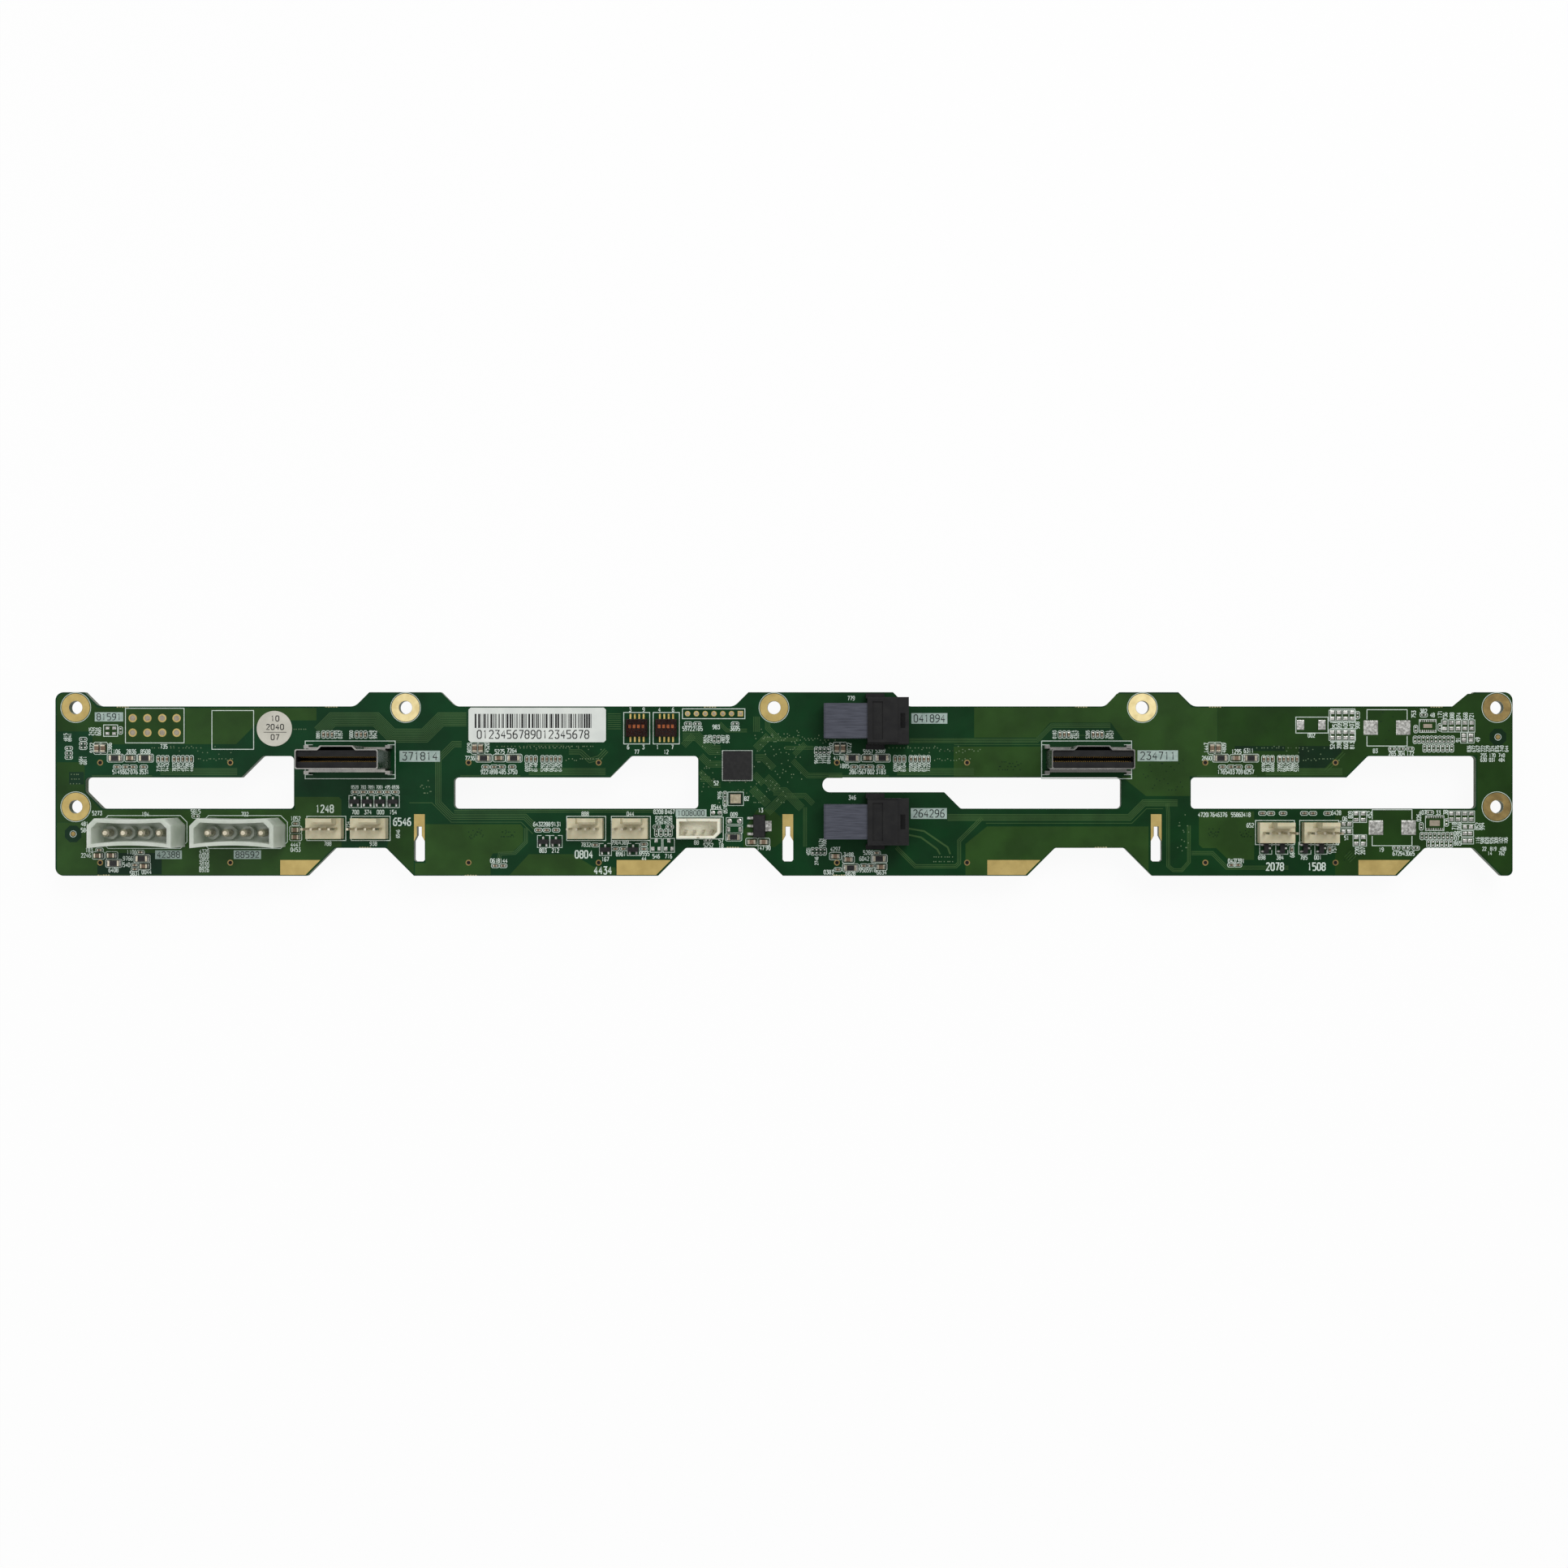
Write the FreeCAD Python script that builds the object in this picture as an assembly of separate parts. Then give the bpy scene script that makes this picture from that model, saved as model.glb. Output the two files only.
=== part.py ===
import FreeCAD, Part
import math
import os

# A drive backplane board: a long green circuit board that stands behind two rows of four
# drive bays. Cables plug in on its top side (+Z); eight drive sockets face down (-Z).
# X runs along the board, Y across it, and z = 0 is the plane of the drive sockets' faces.
# All sizes are in millimetres.

os.makedirs("parts", exist_ok=True)

V = FreeCAD.Vector
UP = V(0, 0, 1)

# ------------------------------------------------------------------ board sizes
board_thickness = 2.0
bay_pitch = 106.45            # from one drive column to the next
bay_inset = 12.95             # left board edge to the first column's left socket peg
last_bay_reach = 88.8         # last column's left socket peg to the right board edge
lower_band = 19.4             # bottom edge to the lower edge of the long slots
slot_height = 9.0
upper_band = 20.55            # upper edge of the long slots to the main top edge
tab_rise = 4.1                # how far the screw tabs stand above the main top edge
corner_r = 2.4
tab_foot_r = 3.2              # routed inner bends; outer bends are sharp
notch_depth = 8.05            # notches in the bottom edge, with 45 degree sides
notch_r = 1.1
notch_starts = (67.85, 62.75, 63.0, 63.4)   # column peg to the left end of the notch's top
notch_widths = (14.75, 20.0, 20.0, 17.0)
last_notch_foot = 3.3         # bottom edge left between the last notch and the right edge

# long slots: each starts just left of its column's peg and ends before the next column
slot_lead = 4.2
slot_bridges = (50.45, 40.1, 24.4)          # slot end to the next column's peg
last_bridge = 10.6                          # last slot's end to the right board edge
slot_r = 1.2
slot_step_rise = 6.2          # the slots' right parts reach further up, past a 45 degree step
slot_step_start = 47.0
slot_a_chamfer = 4.9
narrow_slot_height = 4.25     # the third slot is narrow first, and wide past a 45 degree step
narrow_slot_length = 35.2

# screw holes and keyholes
screw_hole_r = 1.9
screw_inset_top = 4.45        # from the tabs' upper edge
screw_row_spacing = 28.65
left_screw_inset = 5.9
right_screw_inset = 4.55
middle_screw_lead = 18.2      # middle screws stand this far left of a column's peg
keyhole_lead = 14.2
keyhole_width = 3.1
keyhole_neck = 1.35
keyhole_top = 5.2             # slots' lower edge to the top of the neck
keyhole_neck_length = 2.6
keyhole_flare = 1.6
keyhole_length = 10.1
keyhole_chamfer = 0.5
tab_reach_left = (10.5, 7.4, 6.6)           # middle tabs, from their screw to each side
tab_reach_right = (10.25, 34.4, 10.4)
left_tab_width = 8.4
right_tab_width = 11.1

# small round things are drawn with few flat sides
small_sides = 8
tiny_sides = 6
tail_sides = 4

# ------------------------------------------------------------------ connector sizes
socket_length = 42.0          # drive sockets, on the back
socket_width = 5.6
socket_height = 8.6
socket_slot_length = 33.4
socket_slot_width = 2.3
socket_slot_depth = 6.4
socket_key_gap = 1.3
socket_key_at = 0.45          # along the slot, as a share of its length
socket_arm_width = 3.4
socket_shoulder = 2.2
socket_lead_in = 1.0
peg_spacing = 37.6
peg_r = 0.7
peg_clearance = 0.05
socket_rows = (4.3, -24.6)    # from the slots' upper edge

power_pitch = 5.08            # four-pin drive power headers
power_length = 23.7
power_width = 8.4
power_height = 11.0
power_wall = 1.15
power_floor = 2.6
power_chamfer = 2.1
power_bow_low = 0.75          # the long walls bow inwards
power_bow_high = 0.3
power_pin_r = 1.05
power_pin_height = 8.9
power_cup_r = 1.85
power_cup_height = 2.3
power_nose = 0.45             # chamfer at the pins' tips
power_tail_r = 0.65

pin_pitch = 2.54              # four-pin fan headers
fan_base_length = 10.16
fan_base_width = 5.9
fan_base_height = 3.2
fan_wall_height = 8.3
fan_wall_width = 5.1
fan_wall_thickness = 1.6
fan_wall_shift = 1.27
fan_wall_chamfer = 0.6
fan_recess = 1.35
fan_recess_depth = 1.2
fan_pin_height = 10.6
pin_width = 0.64
tail_drop = 1.3               # solder tails, below the board's back
tail_hole_clearance = 0.1

bus_pitch = 2.5               # shrouded bus header
bus_length = 12.4
bus_width = 5.6
bus_height = 7.0
bus_wall = 0.75
bus_floor = 1.8
bus_chamfer = 1.6
bus_window = 6.6              # cut-down part of the upper wall
bus_window_floor = 4.2
bus_side_floor = 3.0          # window in the left wall
bus_side_width = 1.3
bus_side_height = 2.6
bus_rib_width = 0.8
bus_rib_depth = 1.6
bus_pin_height = 6.0
bus_pin_shift = 0.75

port_shell_length = 23.4      # upright cable ports
port_shell_width = 5.6
port_shell_height = 13.9
port_sheet = 0.3
port_corner = 0.35            # folded corners
port_bump_length = 11.3
port_bump_depth = 1.05
port_skirt_length = 22.0
port_skirt_reach = 0.8
port_skirt_height = 3.4
port_slot_width = 1.5
port_slot_depth = 7.5
port_contact_pitch = 0.6
port_contact_depth = 0.35
port_recess = 0.8             # insulator's top, below the shell's rim
port_wing_reach = 12.4        # feet at the shell's corners
port_wing_length = 1.4
port_wing_width = 1.0
port_wing_at = 3.7
port_tongue_low = 5.5         # contact tongues, below the slot's mouth
port_tongue_nose = 2.6
port_tongue_high = 1.0
port_slot_end_wall = 0.1      # between the card slot's ends and the shell
port_slot_margin = 0.2

side_port_width = 13.3        # right-angle cable ports, mouth towards +X
side_port_length = 11.7
side_port_height = 10.9
side_port_wall = 1.1
side_port_mouth_depth = 8.0
side_port_nose = 3.2
side_port_ear_width = 1.4
side_port_ear_length = 5.4
side_port_ear_height = 3.0
side_port_ear_at = 2.3
side_port_chamfer = 0.5
side_port_nose_gap = 1.2      # around the nose inside the mouth
side_port_card_levels = (0.32, 0.68)
side_port_card_slot = 0.8
side_port_recess_depth = 0.5
side_port_recess_length = 2.9
side_port_recess_margin = 1.3
side_port_lip_length = 3.1    # lowered front edge
side_port_lip_depth = 0.35
side_port_latch_length = 1.4
side_port_latch_at = 1.7      # from the mouth's edge
side_port_latch = 4.2
wafer_length = 12.4
wafer_width = 9.9
wafer_height = 10.2
wafer_chamfer = 0.5

dip_length = 6.2              # four-way switch blocks
dip_width = 5.1
dip_height = 2.0
dip_pitch = 1.27
dip_ways = 4
dip_window_width = 2.0
dip_window_depth = 0.8
dip_slider_width = 0.75
dip_slider_length = 1.0
dip_chamfer = 0.2
dip_slider_clearance = 0.05
dip_slider_shift = 0.4
dip_film = 0.05
dip_film_margin = 0.25
lead_thickness = 0.2
dip_lead_width = 0.5
dip_lead_reach = 1.5

chip_side = 8.2               # bay controller chip
chip_height = 0.9
chip_dimple_r = 0.45
chip_dimple_at = 1.2          # from the body's edges
chip_dimple_depth = 0.1
oscillator_length = 3.5
oscillator_width = 3.1
oscillator_height = 0.9
oscillator_lid_height = 0.3
oscillator_lid_margin = 0.25
regulator_length = 6.5
regulator_width = 3.5
regulator_height = 1.6
regulator_chamfer = 0.25
regulator_lead_width = 0.7
regulator_tab_width = 3.0
regulator_lead_reach = 1.75
regulator_lead_spacing = 2.3
regulator_shoulder = 0.9
lead_bend = 0.45              # share of a lead's reach before it comes down
body_lift = 0.05              # chip bodies stand this far off the board
transistor_length = 2.9
transistor_width = 1.3
transistor_height = 1.0
transistor_lead_reach = 0.75
transistor_lead_width = 0.5
transistor_lead_height = 0.45
transistor_lead_spacing = 1.9

capacitor_size = (2.0, 1.25, 0.95)
resistor_size = (3.2, 1.6, 0.55)
small_size = (1.0, 0.5, 0.35)

label_size = (39.7, 10.0)
label_corner = 0.6
sticker_r = 5.1
paper_thickness = 0.1

# ------------------------------------------------------------------ places
left_edge = -(bay_inset + 3 * bay_pitch + last_bay_reach) / 2
right_edge = -left_edge
bays = [left_edge + bay_inset + column * bay_pitch for column in range(4)]
edge_low = -(lower_band + slot_height + upper_band + tab_rise) / 2
slot_low = edge_low + lower_band
slot_high = slot_low + slot_height
edge_high = slot_high + upper_band
tab_top = edge_high + tab_rise
notch_top = edge_low + notch_depth
back_z = socket_height
top_z = back_z + board_thickness
port_slot_length = port_shell_length - 2 * (port_sheet + port_slot_end_wall)

middle_screws = [bay - middle_screw_lead for bay in bays[1:]]
keyholes = [bay - keyhole_lead for bay in bays[1:]]
screw_high = tab_top - screw_inset_top
screw_low = screw_high - screw_row_spacing
corner_screws = [left_edge + left_screw_inset, right_edge - right_screw_inset]

# places are measured from a column's left socket peg and from an edge of the long slots
bay_1, bay_2, bay_3, bay_4 = bays
LOW = slot_low
HIGH = slot_high
power_places = [(bay_1 + 12.75, LOW - 6.8), (bay_1 + 41.75, LOW - 6.8)]
fan_places = [(bay_2 - 41.1, LOW - 5.7), (bay_2 - 28.3, LOW - 5.7), (bay_2 + 34.0, LOW - 5.7),
              (bay_2 + 46.9, LOW - 5.7), (bay_4 + 20.1, LOW - 6.9), (bay_4 + 32.9, LOW - 6.9)]
bus_place = (bay_2 + 66.9, LOW - 5.6)
port_places = [(bay_2 - 34.2, HIGH + 5.1), (bay_4 - 34.3, HIGH + 5.1)]
side_port_places = [(bay_3 + 8.7, HIGH + 16.1), (bay_3 + 8.7, LOW - 3.6)]
dip_places = [(bay_2 + 48.7, HIGH + 14.3), (bay_2 + 57.2, HIGH + 14.3)]
chip_place = (bay_3 - 28.75, HIGH + 3.5)
oscillator_place = (bay_3 - 29.25, LOW + 2.85)
regulator_place = (bay_3 - 22.4, LOW - 5.0)
label_place = (bay_2 + 19.85, HIGH + 15.2)
sticker_place = (bay_1 + 50.35, HIGH + 14.15)


# ------------------------------------------------------------------ shape helpers
def rounded_wire(corners, z):
    """Closed wire through (x, y, radius) corners, each rounded by a tangent arc."""
    points = [V(x, y, z) for x, y, radius in corners]
    bends = []
    for index, here in enumerate(points):
        radius = corners[index][2]
        if radius == 0:
            bends.append((here, None, here))
            continue
        back = (points[index - 1] - here).normalize()
        ahead = (points[(index + 1) % len(points)] - here).normalize()
        half_angle = back.getAngle(ahead) / 2
        reach = radius / math.tan(half_angle)
        inwards = (back + ahead).normalize()
        middle = here + inwards * (radius / math.sin(half_angle) - radius)
        bends.append((here + back * reach, middle, here + ahead * reach))
    edges = []
    for index, (start, middle, end) in enumerate(bends):
        if middle is not None:
            edges.append(Part.Arc(start, middle, end).toShape())
        following = bends[(index + 1) % len(bends)][0]
        if end.distanceToPoint(following) > 1e-6:
            edges.append(Part.LineSegment(end, following).toShape())
    return Part.Wire(edges)


def circle_wire(x, y, z, radius):
    return Part.Wire([Part.Circle(V(x, y, z), UP, radius).toShape()])


def ring_wire(x, y, z, radius, sides):
    """Regular polygon whose flats are one radius from its centre."""
    reach = radius / math.cos(math.pi / sides)
    corners = []
    for i in range(sides):
        angle = math.pi * (2 * i + 1) / sides
        corners.append(V(x + reach * math.cos(angle), y + reach * math.sin(angle), z))
    return Part.makePolygon(corners + [corners[0]])


def prism(x, y, z, radius, sides, height):
    return Part.Face(ring_wire(x, y, z, radius, sides)).extrude(V(0, 0, height))


def slab(outer, holes, height):
    """Flat plate from an outer wire and hole wires."""
    return Part.makeFace([outer] + holes, "Part::FaceMakerBullseye").extrude(V(0, 0, height))


def rectangle(x, y, length, width, radius=0):
    """Corners of a rectangle about (x, y), all with one radius."""
    return [(x - length / 2, y - width / 2, radius), (x + length / 2, y - width / 2, radius),
            (x + length / 2, y + width / 2, radius), (x - length / 2, y + width / 2, radius)]


def block(x, y, z, length, width, height):
    """Box centred on (x, y) that stands on z."""
    return Part.makeBox(length, width, height, V(x - length / 2, y - width / 2, z))


def chamfer_along(shape, size, wanted):
    """Shape with the edges chosen by wanted(edge) chamfered."""
    chosen = [edge for edge in shape.Edges if wanted(edge)]
    return shape.makeChamfer(size, chosen)


def placed(shape, x, y, z=0):
    copy = shape.copy()
    copy.translate(V(x, y, z))
    return copy


def write(name, solids):
    shape = solids[0] if len(solids) == 1 else Part.makeCompound(solids)
    shape.exportStep("parts/" + name + ".step")


# ------------------------------------------------------------------ board
def board_outline():
    """Outline from the lower left corner, anticlockwise."""
    corners = [(left_edge, edge_low, corner_r)]
    for bay, start, width in zip(bays, notch_starts, notch_widths):
        last = bay == bays[-1]
        notch_end = bay + start + width
        foot_end = notch_end + notch_depth
        if last:
            foot_end = right_edge - last_notch_foot
            notch_end = foot_end - notch_depth
        corners.append((bay + start - notch_depth, edge_low, 0))
        corners.append((bay + start, notch_top, notch_r))
        corners.append((notch_end, notch_top, notch_r))
        corners.append((foot_end, edge_low, 0))
    corners.append((right_edge, edge_low, min(corner_r, last_notch_foot / 2)))
    corners.append((right_edge, tab_top, corner_r))
    corners.append((right_edge - right_tab_width, tab_top, 0))
    corners.append((right_edge - right_tab_width - tab_rise, edge_high, tab_foot_r))
    for screw, left, right in reversed(list(zip(middle_screws, tab_reach_left, tab_reach_right))):
        corners.append((screw + right + tab_rise, edge_high, tab_foot_r))
        corners.append((screw + right, tab_top, 0))
        corners.append((screw - left, tab_top, 0))
        corners.append((screw - left - tab_rise, edge_high, tab_foot_r))
    corners.append((left_edge + left_tab_width + tab_rise, edge_high, tab_foot_r))
    corners.append((left_edge + left_tab_width, tab_top, 0))
    corners.append((left_edge, tab_top, corner_r))
    return rounded_wire(corners, back_z)


def long_slot(column):
    start = bays[column] - slot_lead
    end = right_edge - last_bridge if column == 3 else bays[column + 1] - slot_bridges[column]
    step = bays[column] + slot_step_start
    step_high = slot_high + slot_step_rise
    if column == 2:
        narrow_low = slot_high - narrow_slot_height
        turn = start + narrow_slot_length
        drop = narrow_low - slot_low
        round_end = narrow_slot_height / 2 - 0.01
        corners = [(start, narrow_low, round_end), (turn, narrow_low, 0),
                   (turn + drop, slot_low, slot_r), (end, slot_low, slot_r),
                   (end, slot_high, slot_r), (start, slot_high, round_end)]
        return rounded_wire(corners, back_z)
    corners = []
    if column == 0:
        corners.append((start, slot_low + slot_a_chamfer, slot_r))
        corners.append((start + slot_a_chamfer, slot_low, slot_r))
    else:
        corners.append((start, slot_low, slot_r))
    corners.append((end, slot_low, slot_r))
    corners.append((end, step_high, slot_r))
    corners.append((step, step_high, slot_r))
    corners.append((step - slot_step_rise, slot_high, 0))
    corners.append((start, slot_high, slot_r))
    return rounded_wire(corners, back_z)


def keyhole(x):
    """Narrow neck that flares into the wide part below it."""
    top = slot_low - keyhole_top
    neck_low = top - keyhole_neck_length
    wide_high = neck_low - keyhole_flare
    low = top - keyhole_length
    neck = keyhole_neck / 2
    wide = keyhole_width / 2
    cut = keyhole_chamfer
    half = [(wide - cut, low), (wide, low + cut), (wide, wide_high), (neck, neck_low), (neck, top)]
    corners = [(x + across, y, 0) for across, y in half]
    corners += [(x - across, y, 0) for across, y in reversed(half)]
    return rounded_wire(corners, back_z)


def screw_spots():
    spots = [(x, y) for x in corner_screws for y in (screw_low, screw_high)]
    return spots + [(x, screw_high) for x in middle_screws]


def socket_spots():
    """Centres of the eight drive sockets."""
    return [(bay + peg_spacing / 2, slot_high + row) for row in socket_rows for bay in bays]


def power_pin_spots(place):
    x, y = place
    return [(x + (i - 1.5) * power_pitch, y) for i in range(4)]


def fan_pin_spots(place):
    x, y = place
    return [(x + (i - 1.5) * pin_pitch, y) for i in range(4)]


def bus_pin_spots():
    x, y = bus_place
    return [(x + (i - 1.5) * bus_pitch, y - bus_pin_shift) for i in range(4)]


def make_board():
    holes = [long_slot(column) for column in range(4)]
    holes += [keyhole(x) for x in keyholes]
    holes += [circle_wire(x, y, back_z, screw_hole_r) for x, y in screw_spots()]
    for x, y in socket_spots():
        for side in (-1, 1):
            holes.append(ring_wire(x + side * peg_spacing / 2, y, back_z,
                                   peg_r + peg_clearance, tiny_sides))
    for place in power_places:
        holes += [ring_wire(x, y, back_z, power_tail_r + tail_hole_clearance, tail_sides)
                  for x, y in power_pin_spots(place)]
    pin_spots = [at for place in fan_places for at in fan_pin_spots(place)] + bus_pin_spots()
    holes += [ring_wire(x, y, back_z, pin_width / 2 + tail_hole_clearance, tail_sides)
              for x, y in pin_spots]
    write("board", [slab(board_outline(), holes, board_thickness)])


# ------------------------------------------------------------------ drive sockets
def drive_socket():
    """Upside-down housing with a keyed slot, guide arms and two pegs, under the board."""
    height = socket_height
    body_length = socket_length - 2 * socket_arm_width
    face_z = socket_shoulder
    body = block(0, 0, 0, body_length, socket_width, height)
    # the arms stop short of the face, and lead the plug in with sloped ends
    arms = block(0, 0, face_z, socket_length, socket_width, height - face_z)
    shape = chamfer_along(body.fuse(arms).removeSplitter(), socket_lead_in,
                          lambda e: abs(e.BoundBox.ZMax - face_z) < 0.01
                          and e.BoundBox.XLength < 0.01
                          and abs(e.BoundBox.XMin) > body_length / 2 + 1)
    slot = block(0, 0, 0, socket_slot_length, socket_slot_width, socket_slot_depth)
    # the key wall splits the slot into signal and power parts
    key_x = socket_slot_length * (socket_key_at - 0.5) + socket_key_gap
    key = block(key_x, 0, 0, socket_key_gap, socket_slot_width, socket_slot_depth)
    shape = shape.cut(slot.cut(key))
    for side in (-1, 1):
        shape = shape.fuse(prism(side * peg_spacing / 2, 0, height, peg_r, tiny_sides,
                                 board_thickness))
    return shape.removeSplitter()


def make_drive_sockets():
    socket = drive_socket()
    for number, (x, y) in enumerate(socket_spots(), 1):
        write("drive_socket_" + str(number), [placed(socket, x, y)])


# ------------------------------------------------------------------ power headers
def bowed_outline(length, width, chamfer, bow_low, bow_high, z):
    """Header outline: two chamfered upper corners, long sides bowed inwards."""
    half_l = length / 2
    half_w = width / 2
    low_left, low_right = V(-half_l, -half_w, z), V(half_l, -half_w, z)
    right_high = V(half_l, half_w - chamfer, z)
    high_right, high_left = V(half_l - chamfer, half_w, z), V(-half_l + chamfer, half_w, z)
    left_high = V(-half_l, half_w - chamfer, z)
    return Part.Wire([
        Part.Arc(low_left, V(0, -half_w + bow_low, z), low_right).toShape(),
        Part.LineSegment(low_right, right_high).toShape(),
        Part.LineSegment(right_high, high_right).toShape(),
        Part.Arc(high_right, V(0, half_w - bow_high, z), high_left).toShape(),
        Part.LineSegment(high_left, left_high).toShape(),
        Part.LineSegment(left_high, low_left).toShape(),
    ])


def power_housing():
    outer = slab(bowed_outline(power_length, power_width, power_chamfer,
                               power_bow_low, power_bow_high, 0), [], power_height)
    cavity = slab(bowed_outline(power_length - 2 * power_wall, power_width - 2 * power_wall,
                                power_chamfer - power_wall / 3, power_bow_low,
                                power_bow_high, power_floor), [], power_height)
    shape = outer.cut(cavity)
    for i in range(4):
        x = (i - 1.5) * power_pitch
        shape = shape.fuse(prism(x, 0, power_floor, power_cup_r, small_sides,
                                 power_cup_height))
    for i in range(4):
        x = (i - 1.5) * power_pitch
        shape = shape.cut(prism(x, 0, -1, power_pin_r, small_sides, power_height))
    return shape.removeSplitter()


def power_pin():
    """Round pin with a tapered nose and a thinner solder tail."""
    pin = prism(0, 0, 0, power_pin_r, small_sides, power_pin_height)
    pin = chamfer_along(pin, power_nose, lambda e: abs(e.BoundBox.ZMin - power_pin_height) < 0.01)
    tail_length = board_thickness + tail_drop
    return pin.fuse(prism(0, 0, -tail_length, power_tail_r, tail_sides, tail_length))


def make_power_headers():
    housing = power_housing()
    pin = power_pin()
    for number, place in enumerate(power_places, 1):
        x, y = place
        write("power_header_" + str(number) + "_housing", [placed(housing, x, y, top_z)])
        write("power_header_" + str(number) + "_pins",
              [placed(pin, px, py, top_z) for px, py in power_pin_spots(place)])


# ------------------------------------------------------------------ pin headers
def square_pin(height):
    """Square pin with a tail through the board."""
    tail = board_thickness + tail_drop
    return block(0, 0, -tail, pin_width, pin_width, height + tail)


def fan_housing():
    """Base with a recess and a raised friction wall along its upper side."""
    base = block(0, 0, 0, fan_base_length, fan_base_width, fan_base_height)
    wall_y = fan_base_width / 2 - fan_wall_thickness / 2
    wall = block(fan_wall_shift, wall_y, 0, fan_wall_width, fan_wall_thickness, fan_wall_height)
    wall = chamfer_along(wall, fan_wall_chamfer,
                         lambda e: abs(e.BoundBox.ZMin - fan_wall_height) < 0.01
                         and e.BoundBox.YMax < wall_y)
    recess_x = fan_wall_shift - fan_wall_width / 2 - fan_recess / 2
    recess = block(recess_x, wall_y, fan_base_height - fan_recess_depth, fan_recess,
                   fan_wall_thickness, fan_base_height)
    shape = base.fuse(wall).cut(recess)
    for i in range(4):
        hole = block((i - 1.5) * pin_pitch, 0, -1, pin_width, pin_width, fan_base_height + 2)
        shape = shape.cut(hole)
    return shape.removeSplitter()


def make_fan_headers():
    housing = fan_housing()
    pin = square_pin(fan_pin_height)
    pins = []
    for number, place in enumerate(fan_places, 1):
        x, y = place
        write("fan_header_" + str(number) + "_housing", [placed(housing, x, y, top_z)])
        pins += [placed(pin, px, py, top_z) for px, py in fan_pin_spots(place)]
    write("fan_header_pins", pins)


def make_bus_header():
    """Shrouded header: a chamfered corner, a cut-down upper wall and a side window."""
    x, y = bus_place
    half_l = bus_length / 2
    half_w = bus_width / 2
    outer = rounded_wire([(-half_l, -half_w, 0), (half_l - bus_chamfer, -half_w, 0),
                          (half_l, -half_w + bus_chamfer, 0), (half_l, half_w, 0),
                          (-half_l, half_w, 0)], 0)
    inner_l = half_l - bus_wall
    inner_w = half_w - bus_wall
    inner_chamfer = bus_chamfer - bus_wall * (2 - math.sqrt(2))
    inner = rounded_wire([(-inner_l, -inner_w, 0), (inner_l - inner_chamfer, -inner_w, 0),
                          (inner_l, -inner_w + inner_chamfer, 0), (inner_l, inner_w, 0),
                          (-inner_l, inner_w, 0)], bus_floor)
    shape = slab(outer, [], bus_height).cut(slab(inner, [], bus_height))
    shape = shape.cut(block(0, half_w, bus_window_floor, bus_window, 3 * bus_wall, bus_height))
    shape = shape.cut(block(-half_l, bus_side_width / 2, bus_side_floor, 3 * bus_wall,
                            bus_side_width, bus_side_height))
    shape = shape.cut(block(0, -half_w, bus_height - bus_rib_depth, bus_rib_width, bus_wall,
                            bus_height))
    for i in range(4):
        hole = block((i - 1.5) * bus_pitch, -bus_pin_shift, -1, pin_width, pin_width,
                     bus_floor + 2)
        shape = shape.cut(hole)
    write("bus_header_housing", [placed(shape.removeSplitter(), x, y, top_z)])
    pin = square_pin(bus_pin_height)
    write("bus_header_pins", [placed(pin, px, py, top_z) for px, py in bus_pin_spots()])


# ------------------------------------------------------------------ upright cable ports
def port_outline(grow, z):
    """Shell outline with its bump; grow moves it outwards."""
    half_l = port_shell_length / 2 + grow
    half_w = port_shell_width / 2 + grow
    bump = port_bump_length / 2 + grow
    fold = port_corner
    slope = port_bump_depth
    outline = [(-half_l, fold - half_w), (fold - half_l, -half_w),
               (half_l - fold, -half_w), (half_l, fold - half_w),
               (half_l, half_w - fold), (half_l - fold, half_w), (bump, half_w),
               (bump - slope, half_w + port_bump_depth),
               (slope - bump, half_w + port_bump_depth), (-bump, half_w),
               (fold - half_l, half_w), (-half_l, half_w - fold)]
    return rounded_wire([(x, y, 0) for x, y in outline], z)


def port_shell():
    """Folded sheet shell on a wider skirt, with board locks at its corners."""
    tube = slab(port_outline(0, port_skirt_height), [port_outline(-port_sheet, port_skirt_height)],
                port_shell_height - port_skirt_height)
    half_w = port_shell_width / 2 + port_skirt_reach
    skirt_outer = rounded_wire(rectangle(0, 0, port_skirt_length, 2 * half_w), 0)
    skirt_inner = port_outline(-port_sheet, 0)
    skirt = slab(skirt_outer, [], port_skirt_height).cut(slab(skirt_inner, [], port_skirt_height))
    # the tube's ends and bump reach past the skirt, and wings stand at its corners
    ends = slab(port_outline(0, 0), [port_outline(-port_sheet, 0)], port_skirt_height)
    shape = skirt.fuse(ends).fuse(tube)
    for i in (-1, 1):
        for j in (-1, 1):
            wing = block(i * (port_wing_reach - port_wing_length / 2), j * port_wing_at, 0,
                         port_wing_length, port_wing_width, port_skirt_height)
            shape = shape.fuse(wing)
    return shape.removeSplitter()


def port_insulator():
    """Moulded block inside the shell, with one long card slot."""
    half_l = port_shell_length / 2 - port_sheet
    half_w = port_shell_width / 2 - port_sheet
    fold = port_corner
    outline = [(fold - half_l, -half_w), (half_l - fold, -half_w), (half_l, fold - half_w),
               (half_l, half_w - fold), (half_l - fold, half_w), (fold - half_l, half_w),
               (-half_l, half_w - fold), (-half_l, fold - half_w)]
    height = port_shell_height - port_recess
    shape = slab(rounded_wire([(x, y, 0) for x, y in outline], 0), [], height)
    slot = block(0, 0, height - port_slot_depth, port_slot_length, port_slot_width,
                 port_slot_depth)
    return shape.cut(slot)


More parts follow.
